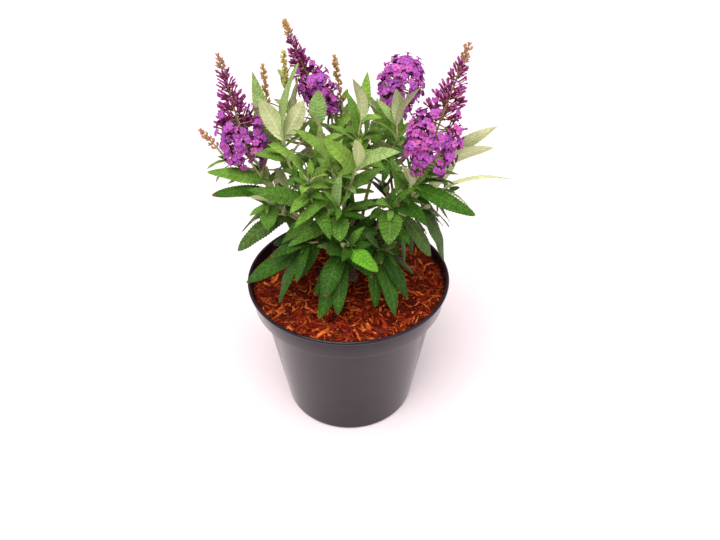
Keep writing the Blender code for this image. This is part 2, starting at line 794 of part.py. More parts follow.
def build():
    for old in list(bpy.data.objects):
        bpy.data.objects.remove(old)
    finishes = {name: material(name) for name in COLOURS}
    curves, boughs, flowers, leaves = grow()
    for name, solid in pot_and_soil().items():
        made = mesh_object(name, solid, finishes[name])
        if name == "pot":
            made.data.shade_smooth()
            made.data.set_sharp_from_angle(angle=math.radians(35))
            add_drains(made)
    mesh_object("stem", stem_solid(), finishes["stem"])
    for name in CROWN:
        mesh_object("bough_" + name, bough_solid(boughs[name]), finishes["stem"])
        solids = [shoot_solid(curve, i) for i, curve in enumerate(curves[name])]
        for bloom in flowers[name]:
            solids += flower_solids(*bloom)
        solids += [leaf_solid(leaf) for leaf in leaves[name]]
        joined("foliage_" + name, solids, finishes["foliage"])


build()
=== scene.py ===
"""A butterfly bush in its nursery pot: the looks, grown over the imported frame.

Shoots, leaves and flower spikes grow from CROWN by the same seeded rule as the solids, and
then finer: veined blades, axil leaves, florets on branching stalks, bark on the wood, and
shredded mulch in the pot.
"""

import math
import random
from collections import namedtuple

import bpy
import numpy as np
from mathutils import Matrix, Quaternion, Vector
from mathutils.bvhtree import BVHTree
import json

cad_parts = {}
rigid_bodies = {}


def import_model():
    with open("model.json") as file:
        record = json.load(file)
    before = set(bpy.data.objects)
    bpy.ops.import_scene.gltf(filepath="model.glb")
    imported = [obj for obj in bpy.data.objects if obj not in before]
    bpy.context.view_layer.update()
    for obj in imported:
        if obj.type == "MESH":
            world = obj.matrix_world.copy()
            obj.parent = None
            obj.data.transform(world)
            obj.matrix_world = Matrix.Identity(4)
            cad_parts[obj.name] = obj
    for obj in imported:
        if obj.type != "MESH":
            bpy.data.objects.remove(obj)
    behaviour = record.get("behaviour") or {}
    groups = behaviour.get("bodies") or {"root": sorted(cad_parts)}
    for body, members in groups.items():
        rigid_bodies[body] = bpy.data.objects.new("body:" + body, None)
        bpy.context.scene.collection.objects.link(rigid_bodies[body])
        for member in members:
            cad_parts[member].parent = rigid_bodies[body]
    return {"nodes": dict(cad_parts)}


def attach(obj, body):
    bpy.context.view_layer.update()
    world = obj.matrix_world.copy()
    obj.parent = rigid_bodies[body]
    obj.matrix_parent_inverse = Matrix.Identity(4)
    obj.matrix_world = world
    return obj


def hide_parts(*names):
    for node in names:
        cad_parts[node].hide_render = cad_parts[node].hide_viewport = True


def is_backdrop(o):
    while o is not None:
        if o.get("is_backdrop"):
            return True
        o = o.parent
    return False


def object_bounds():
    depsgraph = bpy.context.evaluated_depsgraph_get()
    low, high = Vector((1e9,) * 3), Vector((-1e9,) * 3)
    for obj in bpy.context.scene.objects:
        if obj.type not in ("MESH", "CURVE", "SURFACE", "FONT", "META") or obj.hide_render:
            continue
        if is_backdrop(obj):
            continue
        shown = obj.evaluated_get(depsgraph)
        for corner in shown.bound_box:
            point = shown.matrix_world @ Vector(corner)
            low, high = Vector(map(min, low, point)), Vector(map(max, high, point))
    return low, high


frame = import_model()
CAD_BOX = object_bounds()

MM = 0.001
GAP = 0.3 * MM
CLEAR = 0.7 * MM  # between a leaf and whatever it passes

# Camera, as the photograph was taken
CAMERA_PLACE = (0.0108, -0.4620, 0.5138)
CAMERA_TILT = math.radians(52)
CAMERA_LENS = 31.0  # on a 36 mm sensor
FLOOR_SIZE = 14.0
FLOOR_COLOUR = (0.745, 0.65, 0.675, 1)
SKY_COLOUR = (1.0, 0.985, 1.0, 1)
SKY_STRENGTH = 0.52
SUNS = (  # name, where from, strength, width in degrees, colour
    ("key", (-0.2, -0.45, 1.0), 3.95, 50, (1.0, 0.985, 0.96)),
    ("fill", (0.8, -0.3, 0.9), 1.0, 60, (0.97, 0.98, 1.0)),
)

# Pot
POT_HEIGHT = 150 * MM
POT_WALL = 1.6 * MM
FOOT_RADIUS = 66 * MM
FOOT_EDGE = 2 * MM
FLOOR = 2.4 * MM
COLLAR_FOOT = 127 * MM
WALL_TOP_RADIUS = 83.5 * MM
COLLAR_RADIUS = 90.8 * MM
NECK_RADIUS = 93.6 * MM
RIM_RADIUS = 95 * MM
BEAD_HEIGHT = 3.4 * MM
POT_SIDES = 160
DRAIN_COUNT = 6
DRAIN_RADIUS = 6 * MM
DRAIN_CIRCLE = 50 * MM
POT_EDGE = 35  # degrees, past which an edge of the pot is drawn sharp
PINHOLE = 0.02 * MM  # in place of a point on the axis

# Root ball and mulch
MULCH_LEVEL = 140 * MM
MULCH_LIFT = 0.6 * MM
MULCH_HEAP = 3.2 * MM  # round the stem
HEAP_RADIUS = 15 * MM
MULCH_RADIUS = 90.6 * MM
MULCH_RINGS = 34
MULCH_SIDES = 128
MULCH_HEAVE = 1.1 * MM
SOIL_FIT = 0.4 * MM
CHIP_DENSITY = 235000.0  # to the square metre
LONGEST_CHIP = 19 * MM
SHORTEST_CHIP = 2 * MM
CHIP_SECTIONS = ((0.055, 0.045), (0.08, 0.06), (0.12, 0.06), (0.18, 0.08), (0.3, 0.11))

# Stem and boughs
HEAD_HEIGHT = 158 * MM
HEAD_RADIUS = 8 * MM
STEM_PROFILE = (  # radius and height over the mulch, millimetres
    (13.5, -1.5), (12.2, 0.2), (10.2, 1.6), (8.8, 3.4), (7.9, 5.4), (7.2, 7.6), (6.7, 9.6), (6.6, 11.2),
)
FLARE_LOBES = 5
FLARE_SWELL = 0.16
FLARE_TURN = 0.7
FLARE_FADE = 0.9
STEM_SIDES = 48
BOUGH_FLARE = 0.9 * MM
BOUGH_RADII = (2.0 * MM, 1.5 * MM)
BOUGH_PULL = 0.36
SHOOT_RADII = (1.7 * MM, 1.0 * MM)
SIDE_SHOOT_RADII = (1.4 * MM, 0.9 * MM)
FINE_SHOOT_RADII = ((1.65 * MM, 0.95 * MM), (1.3 * MM, 0.85 * MM))  # main shoots, side shoots
KNOT_SWELL = 0.3
KNOT_LENGTH = 0.025
SHOOT_SIDES = 3
SHOOT_STEPS = 5

# Leaves, by the rule of the solids
LEAF_THICKNESS = 0.95 * MM
PETIOLE = 0.6 * MM
WIDTH_OF_LENGTH = 0.29
ARCH = 0.09
FOLD = 0.22
SAG = 0.16
ROLL = 26
LONG_LEAF = 44 * MM
LONG_STATIONS = (0.3, 0.68)
SHORT_STATIONS = (0.42,)
OPENS = (78, 36)
FLAT = (95, 78)
TUFT_LENGTH = 0.62
TUFT_OPENING = 20
LEAF_FLOOR = 6 * MM
LEAF_ROOT = 0.08
LAST_PAIR = 0.96
CLEAR_OF_OWN = 0.2
MARK_CLEAR_OF_OWN = 0.45
MARK_NUDGES = ((0, 0, 0), (0, -3, 2), (0, 4, -2), (3, 5, 4), (-3, -6, 4))
TRIES = (
    (0, 0, 1.0), (16, 4, 1.0), (-16, -6, 0.95), (28, -12, 0.9),
    (-28, 10, 0.86), (42, 6, 0.8), (-42, -10, 0.74), (60, 0, 0.66),
)

# Leaves, finer
BLADE_COLUMNS = (-1.0, -0.66, -0.33, 0.0, 0.33, 0.66, 1.0)
SMALL_BLADE_COLUMNS = (-1.0, -0.5, 0.0, 0.5, 1.0)
SMALL_BLADE = 26 * MM
TOOTHLESS_BLADE = 16 * MM
BLADE_THICKNESS = 0.42 * MM
BLADE_SHAPES = {"old": (0.95, 0.62), "mid": (0.88, 0.74), "young": (0.84, 0.85), "bright": (0.92, 0.66)}
Habit = namedtuple("Habit", "fold flattening rim puff")
OLD_HABIT = Habit(0.75, 0.9, -0.16, 0.034)  # flatter, rolled under at the margins, more puckered
YOUNG_HABIT = Habit(1.1, 0.7, -0.05, 0.022)
STATION_LENGTH = 1.7 * MM
TWIST = 16  # degrees, at most
SWAY = 0.035
TIGHT_FOLD = 2.6  # times the usual fold
TOOTH = 0.085
WAVE = 0.03
MIDRIB_DEPTH = 0.045
VEIN_PAIRS = 10
VEIN_SLANT = 0.9
NET_SCALE = 520
SCORCHED = 0.4  # of the old leaves
VIEWER = Vector((0.1, -0.85, 0.5))
AXIL_TWIG = (4, 10)  # length in millimetres
AXIL_LEAVES = (12, 23)
AXIL_LEAF_WIDTH = 0.36
AXIL_TRIES = ((0, 1.0), (-18, 0.85), (20, 0.75), (-30, 0.6))
TWIGLESS_LEAF = 20 * MM

# Flowers
GOLDEN = math.radians(137.5)
FLOWER_STEPS = 3
FLOWER_ROOT = 2 * MM
CORE_END = 0.96
TOP_CLUB = 0.86
CLUB_WAIST = 0.72
FORMS = {
    "cone": (27, 0.3, 0.45, 1.8 * MM),
    "dome": (28, 0.3, 0.35, 2.0 * MM),
    "bud": (8, 0.55, 0.9, 1.0 * MM),
}
FLORET_LENGTH = 8.6 * MM
FLORET_RADIUS = 3.5 * MM
SPECK_REACH = 4.2 * MM
STRAIGHT_SPIKES = ("right",)  # their stalk runs straighter than the solid's core
SLIM_SPIKES = {"back_left": 0.8}  # drawn narrower than their solid
WHORL_GAPS = {"cone": (4.6, 2.7), "dome": (4.0, 3.2), "bud": (4.4, 3.2)}  # at foot and tip, millimetres
RACHIS_RADII = {"cone": 1.05, "dome": 1.1, "bud": 0.7}
BRANCH_STARTS = {"floret": (-6.0, 1.0), "bud": (-1.2, 0.8), "speck": (0.0, 0.0)}
Cyme = namedtuple("Cyme", "kind grown count rise leans")
OPEN_CYME = Cyme("floret", 8.6, 8, 0.6, (0.4, 1.6))
BUD_CYME = Cyme("bud", 8.4, 7, 1.2, (0.1, 1.2))
SMALL_BUD_CYME = Cyme("bud", 6.0, 6, 1.4, (0.1, 1.1))
SPECK_CYME = Cyme("speck", 2.9, 6, 1.5, (0.4, 1.0))
TUBE_PROFILE = ((0.62, 0), (0.5, 0.25), (0.62, 0.8), (0.95, 0.96))  # millimetres, share of the length
LOBE_RIM = ((1.0, 0.96, 0), (0.96, 0.97, 0.09), (0.62, 1.03, 0), (0.96, 0.98, -0.09))
WHORL_TURN = math.radians(68)
SHUT = 0.08  # of an open cyme's florets, still in bud
SHUT_HIGH = 0.5  # the same in a cone, above SHUT_LINE
SHUT_LINE = 0.33
EARLY = 0.25  # of the lower buds, open already
WILTED = 0.03  # of a dome's florets
WILTED_TINT = 3
WILTED_SIZE = 0.6
DOME_SIZE = 0.86
BUD_PROFILE = ((0.62, 0), (0.5, 1.8), (0.54, 5.6), (0.98, 7.2), (1.02, 8.2), (0.35, 9.1))
SPECK_PROFILE = ((0.35, 0), (0.66, 0.8), (0.62, 2.1), (0.15, 3.4))

SEED = 7
Mass = namedtuple("Mass", "foot azimuth elevation shoots flowers marks")
Leaf = namedtuple("Leaf", "base tip up width look")
flower = namedtuple("Flower", "shoot tip width form bow", defaults=[(0, 0, 0)])
mark = namedtuple("Mark", "shoot at tip width roll look", defaults=[None, 0, None])
shoot = namedtuple(
    "Shoot", "through end parent at pairs first long short opens turn",
    defaults=[None, 0.0, 3, 0.3, 46, 28, OPENS, 20],
)


# The crown of the solids, in millimetres. A mark is a leaf whose tip is given, and its look says
# its age, and whether it is folded or turned to the viewer or away.
CROWN = {
    "left": Mass(
        (-38, 4, 212), 172, 22,
        [
            shoot((-64, 4, 238), (-82, 10, 262), pairs=4, long=46),
            shoot((-96, 6, 263), (-108, 4, 279), parent=0, at=0.85, pairs=1, first=0.5, long=22),
            shoot((-66, 17, 272), (-63, 19, 287), parent=0, at=0.75, pairs=1, first=0.5, long=22),
        ],
        [
            flower(0, (-99, 16, 351), 44, "cone"),
            flower(1, (-119, 4, 294), 11, "bud"),
            flower(2, (-65, 20, 305), 13, "bud"),
        ],
        [
            mark(0, 0.62, (-117, 0, 257), 15, -35, "mid"), mark(0, 0.4, (-114, -12, 242), 14, -20, "old"),
            mark(2, 0.5, (-75, 25, 334), 14, 165, "young facing"),
        ],
    ),
    "back_left": Mass(
        (-10, 22, 218), 128, 52,
        [
            shoot((-12, 38, 252), (-14, 48, 290), pairs=4, long=48),
            shoot((-42, 36, 272), (-51, 42, 316), parent=0, at=0.45, pairs=4, long=42, short=22),
            shoot((-60, 28, 280), (-67, 32, 306), parent=1, at=0.4, long=34, short=20),
        ],
        [
            flower(0, (-49, 46, 368), 38, "cone", (-5, 0, 2)),
            flower(1, (-51, 40, 345), 9, "bud"),
            flower(2, (-67, 30, 338), 10, "bud"),
        ],
        [mark(1, 0.5, (-38, 30, 330))],
    ),
    "centre_left": Mass(
        (-18, -2, 216), 192, 55,
        [
            shoot((-21, 4, 256), (-23, 10, 298), pairs=5, first=0.2, long=50, short=28),
            shoot((-42, -4, 254), (-52, -2, 290), parent=0, at=0.25, pairs=4, long=48, short=28),
            shoot((-27, -24, 240), (-29, -40, 273), parent=0, at=0.1, pairs=4, long=46, turn=60),
        ],
        [],
        [
            mark(1, 0.97, (-66, -12, 327), 15, 0, "young backing"),
            mark(1, 0.97, (-31, -18, 328), 15, 0, "young backing"),
            mark(1, 0.85, (-39, 0, 344)), mark(2, 0.95, (-56, -52, 309)),
            mark(2, 0.9, (-33, -62, 273)), mark(2, 0.55, (-77, -38, 263), 15, -25),
            mark(0, 0.97, (-23, 22, 320), 15, 0, "mid facing"), mark(2, 0.4, (-33, -44, 237)),
        ],
    ),
    "front": Mass(
        (-2, -14, 214), 268, 55,
        [
            shoot((-2, -28, 244), (9, -40, 285), pairs=4, first=0.2, long=48, short=28),
            shoot((-8, -30, 262), (-12, -28, 281), parent=0, at=0.5, long=42, short=26),
            shoot((-6, -36, 238), (-7, -44, 248), parent=0, at=0.25, pairs=1, first=0.4, long=28),
        ],
        [],
        [
            mark(0, 0.95, (40, -62, 308), 14, 35), mark(0, 0.92, (-18, -58, 317), 14, -50),
            mark(0, 0.98, (8, -58, 316)), mark(1, 0.92, (-38, -48, 319), 14, -50),
            mark(0, 0.35, (27, -46, 254)), mark(0, 0.6, (20, -42, 272)),
            mark(2, 0.95, (-18, -50, 269)), mark(2, 0.97, (-6, -50, 278)),
            mark(2, 0.95, (5, -50, 267)), mark(2, 0.6, (-5, -60, 228), 17),
        ],
    ),
    "back_right": Mass(
        (16, 18, 220), 40, 52,
        [
            shoot((27, 29, 258), (40, 41, 292), pairs=4, long=48),
            shoot((10, 14, 264), (12, 14, 297), parent=0, at=0.3, pairs=4, long=44, short=26),
            shoot((39, 15, 272), (41, 13, 295), parent=0, at=0.5, pairs=4, long=44, short=28),
        ],
        [flower(0, (49, 36, 341), 46, "dome")],
        [
            mark(1, 0.97, (5, 4, 337)), mark(1, 0.97, (14, 26, 328)), mark(1, 0.8, (0, 20, 320)),
            mark(2, 0.97, (59, 0, 332)), mark(2, 0.97, (39, 2, 329)),
        ],
    ),
    "right": Mass(
        (30, -8, 214), -12, 24,
        [
            shoot((46, -18, 242), (61, -20, 272), pairs=4, first=0.2, long=50, short=30),
            shoot((58, -11, 252), (65, -8, 267), parent=0, at=0.5, long=44, short=30),
            shoot((64, 6, 232), (84, 14, 232), parent=0, at=0.3, long=42, short=28),
        ],
        [flower(0, (89, -14, 369), 48, "cone", (-9, 0, 0))],
        [
            mark(1, 0.97, (116, -20, 308), 13, -75), mark(1, 0.85, (114, -28, 294), 14, -55),
            mark(1, 0.7, (92, -14, 263)), mark(2, 0.97, (146, 20, 239), 12, -60, "young folded"),
            mark(0, 0.72, (104, -40, 240), 16, 25, "old"), mark(0, 0.4, (57, -36, 238)),
        ],
    ),
    "low_left": Mass(
        (-16, -14, 198), 218, 20,
        [
            shoot((-38, -18, 218), (-62, -22, 240), pairs=4, first=0.2, long=50, short=36),
            shoot((-24, -26, 205), (-34, -33, 208), 0, 0.12, 2, 0.3, long=52, short=40, opens=FLAT),
        ],
        [],
        [
            mark(0, 0.97, (-63, -48, 231), 17), mark(0, 0.72, (-93, -38, 203), 16, -30),
            mark(1, 0.6, (-88, -45, 174), 17, -20), mark(1, 0.9, (-64, -52, 207), 15),
            mark(1, 0.97, (-59, -62, 164), 14), mark(1, 0.4, (-45, -40, 173), 14),
        ],
    ),
    "low_front": Mass(
        (-2, -20, 190), 265, 16,
        [
            shoot((-4, -34, 200), (1, -50, 217), pairs=3, first=0.2, long=46, short=28, turn=60),
        ],
        [],
        [
            mark(0, 0.96, (25, -74, 209), 16, 0, "bright"), mark(0, 0.55, (-18, -72, 180), 17),
            mark(0, 0.3, (-24, -72, 156), 17), mark(0, 0.35, (-8, -71, 160), 15),
            mark(0, 0.8, (-16, -58, 216), 16),
        ],
    ),
    "low_right": Mass(
        (14, -14, 196), 312, 20,
        [
            shoot((28, -28, 224), (36, -38, 246), pairs=3, first=0.25, long=48, short=32),
            shoot((21, -27, 198), (28, -35, 202), 0, 0.1, 2, 0.2, long=50, short=40, opens=FLAT),
            shoot((46, -20, 228), (62, -14, 230), parent=0, at=0.4, pairs=2, first=0.4, long=46, short=38),
        ],
        [],
        [
            mark(0, 0.96, (33, -70, 232), 19), mark(1, 0.6, (41, -70, 158), 18),
            mark(1, 0.95, (52, -54, 164), 16), mark(2, 0.5, (73, -28, 190), 16, 45),
            mark(2, 0.96, (87, -12, 173), 16, 55), mark(2, 0.3, (49, -40, 190), 13),
            mark(1, 0.35, (24, -62, 160), 13),
        ],
    ),
    "back": Mass(
        (4, 26, 212), 84, 50,
        [
            shoot((1, 48, 252), (-6, 62, 296), pairs=5, long=50, short=26),
            shoot((22, 62, 262), (32, 70, 284), parent=0, at=0.35, pairs=4, long=48),
            shoot((-2, 62, 232), (-4, 82, 248), parent=0, at=0.2, long=50, short=36),
        ],
        [flower(0, (-11, 60, 335), 11, "bud")],
        [],
    ),
    "low_back_left": Mass(
        (-22, 20, 202), 128, 18,
        [
            shoot((-46, 42, 226), (-68, 54, 254), pairs=5, first=0.2, long=52, short=32),
            shoot((-38, 60, 232), (-42, 78, 262), parent=0, at=0.3, pairs=4, long=50, turn=70),
            shoot((-44, 26, 208), (-58, 32, 214), 0, 0.1, 2, long=54, short=46, opens=FLAT),
        ],
        [flower(1, (-50, 87, 285), 10, "bud")],
        [],
    ),
    "low_back_right": Mass(
        (24, 20, 204), 42, 18,
        [
            shoot((52, 38, 230), (76, 50, 258), pairs=5, first=0.2, long=52, short=32),
            shoot((40, 60, 236), (46, 78, 266), parent=0, at=0.3, pairs=4, long=50, turn=70),
            shoot((46, 30, 208), (60, 38, 214), 0, 0.1, 2, long=54, short=46, opens=FLAT),
        ],
        [flower(1, (50, 84, 298), 11, "bud")],
        [],
    ),
}
FOLIAGE = ["foliage_" + name for name in CROWN]
BOUGHS = ["bough_" + name for name in CROWN]

# Leaves whose middle is lower than these heights are old, and then mid; the others are young
OLD_BELOW = 218 * MM
MID_BELOW = 268 * MM
TINT_HEIGHTS = {
    "old": (165 * MM, 255 * MM), "mid": (212 * MM, 300 * MM),
    "young": (260 * MM, 330 * MM), "bright": (150 * MM, 210 * MM),
}
# The tint of the smallest buds of each spike, in the order of CROWN
SPECK_TINTS = (0, 0, 1, 1, 2, 1, 0, 0, 1, 1, 2)


def vec(point):
    """A point given in millimetres."""
    return Vector(point) * MM


# Curves and solids of the growth rule

def along(curve, t):
    """Point and heading at t, from 0 to 1, on a Bezier curve of any degree."""
    points = list(curve)
    while len(points) > 2:
        points = [a.lerp(b, t) for a, b in zip(points, points[1:])]
    return points[0].lerp(points[1], t), (points[1] - points[0]).normalized()


def on_shoot(curve, t):
    """Point and heading at t on a shoot's solid, whose steps are straight."""
    step = min(int(t * SHOOT_STEPS), SHOOT_STEPS - 1)
    near = along(curve, step / SHOOT_STEPS)[0]
    far = along(curve, (step + 1) / SHOOT_STEPS)[0]
    return near.lerp(far, t * SHOOT_STEPS - step), along(curve, t)[1]


def arc_through(start, through, end):
    """The Bezier curve whose middle is at a point."""
    return start, 2 * through - (start + end) / 2, end


def square_to(vector, axis):
    """The part of a vector at right angles to an axis, one unit long."""
    rest = vector - axis * vector.dot(axis)
    return rest.normalized() if rest.length > 1e-9 else axis.orthogonal().normalized()


def ring(count, radius, height, phase=0.0):
    """Points of a level circle about the Z axis."""
    angles = [math.tau * (j + phase) / count for j in range(count)]
    return [(radius * math.cos(a), radius * math.sin(a), height) for a in angles]


def loft(rings):
    """Vertices and triangles of a closed solid over rings of points; one point makes a tip."""
    verts = [point for row in rings for point in row]
    starts = [sum(len(row) for row in rings[:i]) for i in range(len(rings))]
    faces = []
    for i in range(len(rings) - 1):
        near, far = starts[i], starts[i + 1]
        here, there = len(rings[i]), len(rings[i + 1])
        for j in range(max(here, there)):
            a, b = near + j % here, near + (j + 1) % here
            c, d = far + (j + 1) % there, far + j % there
            if here > 1:
                faces.append((a, b, c))
            if there > 1:
                faces.append((a, c, d))
    for start, row, turned in ((0, rings[0], True), (starts[-1], rings[-1], False)):
        for j in range(1, len(row) - 1):
            cap = (start, start + j, start + j + 1)
            faces.append(cap[::-1] if turned else cap)
    volume = sum(verts[a].dot(verts[b].cross(verts[c])) for a, b, c in faces)
    return verts, faces if volume > 0 else [face[::-1] for face in faces]


def limb(curve, radii, sides, steps):
    """A tapering limb along a curve."""
    rings = []
    side = along(curve, 0)[1].orthogonal().normalized()
    for i in range(steps + 1):
        t = i / steps
        point, heading = along(curve, t)
        side = square_to(side, heading)
        other = heading.cross(side)
        radius = radii[0] + (radii[1] - radii[0]) * t
        rings.append([point + (side * x + other * y) * radius for x, y, _ in ring(sides, 1, 0)])
    return loft(rings)


def outline(t):
    """Half width of the blade over its greatest half width, from the petiole to the tip."""
    return math.sin(math.pi * t ** 0.85) ** 0.9 if 0 < t < 1 else 0.0


def blade_ring(leaf, t, fat):
    """The three corners of the coarse blade's section: margin, midrib below, margin."""
    chord = leaf.tip - leaf.base
    curve = (leaf.base, leaf.base + chord / 2 + leaf.up * (2 * ARCH * chord.length), leaf.tip)
    point, heading = along(curve, t)
    up = square_to(leaf.up, heading)
    side = heading.cross(up)
    half = max(leaf.width / 2 * outline(t), PETIOLE * (1 - t)) + fat
    thick = LEAF_THICKNESS / 2 * (1 - 0.3 * t) + fat
    margin = up * (FOLD * half + fat)
    return [point + side * half + margin, point - up * thick, point - side * half + margin]


def coarse_leaf(leaf, fat=0.0, start=0.0):
    stations = LONG_STATIONS if (leaf.tip - leaf.base).length > LONG_LEAF else SHORT_STATIONS
    rings = [blade_ring(leaf, start, fat)]
    rings += [blade_ring(leaf, t, fat) for t in stations if t > start + 0.05]
    tip = leaf.tip + (leaf.tip - leaf.base).normalized() * fat
    return loft(rings + [[tip]])


def leaf_at(base, tip, axis, width, roll, look=None):
    """A leaf whose upper face looks up, or towards its shoot where the leaf is erect."""
    heading = (tip - base).normalized()
    up = square_to(axis + Vector((0, 0, 1)), heading)
    up = up * math.cos(roll) + heading.cross(up) * math.sin(roll)
    return Leaf(base, tip, up, width, look or look_of(base, tip))


def spread(form, t):
    """Half width of a flower spike over its greatest half width, from foot to tip."""
    if form == "dome":
        return math.sqrt(max(0.0, 1 - (2 * t - 1) ** 2 * 0.86))
    if form == "bud":
        return 1 - 0.45 * t
    return min(1.0, 0.72 + 2.2 * t) * (1 - 0.78 * t ** 1.15)


def coarse_flower(base, tip, width, form, bow):
    """The solids that the flower spike's space is made of."""
    count, cluster, rise, core = FORMS[form]
    curve = arc_through(base, (base + tip) / 2 + bow, tip)
    length = (tip - base).length
    sunk = base - along(curve, 0)[1] * FLOWER_ROOT
    stalk = (sunk, curve[1], along(curve, CORE_END)[0])
    solids = [limb(stalk, (core, 0.6 * core), SHOOT_SIDES, FLOWER_STEPS)]
    for i in range(count):
        t = (i + 0.5) / count
        point, axis = along(curve, t)
        out = Quaternion(axis, i * GOLDEN) @ square_to(Vector((1, 0, 0)), axis)
        reach = width / 2 * spread(form, t)
        start = along(curve, max(0.0, t - rise * reach / length))[0]
        thick = width * cluster * (0.5 + 0.5 * spread(form, t))
        solids.append(club(start, point + out * reach, thick))
    solids.append(club(along(curve, TOP_CLUB)[0], tip, width * cluster / 2 + core))
    return solids


def club(start, end, thick):
    """A pointed solid, thickest near its outer end."""
    heading = (end - start).normalized()
    side = heading.orthogonal().normalized() * (thick / 2)
    waist = start.lerp(end, CLUB_WAIST)
    thirds = [Quaternion(heading, math.tau * i / 3) for i in range(3)]
    return loft([[start], [waist + turn @ side for turn in thirds], [end]])


# Growth

class Space:
    """What already stands in the crown, by the mass that owns it."""

    def __init__(self):
        self.held = []

    def add(self, owner, solid):
        verts, faces = solid
        self.held.append((owner, *box_of(verts), BVHTree.FromPolygons(verts, faces)))

    def add_node(self, node):
        mesh = frame["nodes"][node].data
        self.add(node, ([v.co for v in mesh.vertices], [tuple(face.vertices) for face in mesh.polygons]))

    def meets(self, owner, whole, outer):
        """Whether a leaf meets another owner, or its own mass with its outer part."""
        boxes = {True: (*box_of(outer[0]), outer), False: (*box_of(whole[0]), whole)}
        trees = {}
        for holder, low, high, tree in self.held:
            own = holder == owner
            near, far, solid = boxes[own]
            if any(far[k] < low[k] or near[k] > high[k] for k in range(3)):
                continue
            if own not in trees:
                trees[own] = BVHTree.FromPolygons(*solid)
            if trees[own].overlap(tree):
                return True
        return False


def box_of(verts):
    return [min(v[k] for v in verts) for k in range(3)], [max(v[k] for v in verts) for k in range(3)]


def shoot_curves(mass):
    """A curve for each shoot of a mass; a side shoot starts on its parent."""
    curves = []
    for item in mass.shoots:
        start = vec(mass.foot) if item.parent is None else on_shoot(curves[item.parent], item.at)[0]
        curves.append(arc_through(start, vec(item.through), vec(item.end)))
    return curves


def bough_curve(mass, first_shoot, sunk=0.0):
    """From the head of the stem to the mass's foot, in line with its shoot."""
    azimuth, elevation = math.radians(mass.azimuth), math.radians(mass.elevation)
    level = math.cos(elevation)
    out = Vector((level * math.cos(azimuth), level * math.sin(azimuth), math.sin(elevation)))
    start = Vector((0, 0, HEAD_HEIGHT)) + out * (HEAD_RADIUS + GAP - sunk)
    heading = along(first_shoot, 0)[1]
    end = vec(mass.foot) - heading * (GAP - sunk / 8)
    pull = (end - start).length * BOUGH_PULL
    return start, start + out * pull, end - heading * pull, end


def look_of(base, tip):
    """The age of a leaf by its height in the crown."""
    height = (base.z + tip.z) / 2
    return "old" if height < OLD_BELOW else "mid" if height < MID_BELOW else "young"


def pair_leaves(item, curve, dice, low_limit):
    """The trial positions of each leaf of a shoot: opposite pairs, each square to the last."""
    side = Vector((1, 0, 0))
    has_tuft = item.pairs > 1
    for k in range(item.pairs + has_tuft):
        share = min(1.0, k / max(1, item.pairs - 1))
        at = item.first + (LAST_PAIR - item.first) * share if has_tuft else item.first
        length = item.long + (item.short - item.long) * share
        opening = item.opens[0] + (item.opens[1] - item.opens[0]) * share
        if k == item.pairs:
            at, length, opening = 1.0, item.short * TUFT_LENGTH, TUFT_OPENING
        base, axis = on_shoot(curve, at)
        side = square_to(side, axis)
        for half in range(2):
            turn = item.turn + 90 * k + 180 * half + dice.uniform(-12, 12)
            grown = length * MM * dice.uniform(0.88, 1.12)
            tilt = opening + dice.uniform(-9, 9)
            roll = math.radians(dice.uniform(-ROLL, ROLL))
            trials = []
            for turn_by, open_by, share_of in TRIES:
                a = math.radians(turn + turn_by)
                b = math.radians(tilt + open_by)
                out = side * math.cos(a) + axis.cross(side) * math.sin(a)
                reach = grown * share_of
                tip = base + (axis * math.cos(b) + out * math.sin(b)) * reach
                level = Vector((tip.x - base.x, tip.y - base.y, 0)).length
                tip.z = max(tip.z - SAG * level, low_limit)
                trials.append(leaf_at(base, tip, axis, reach * WIDTH_OF_LENGTH, roll))
            yield trials


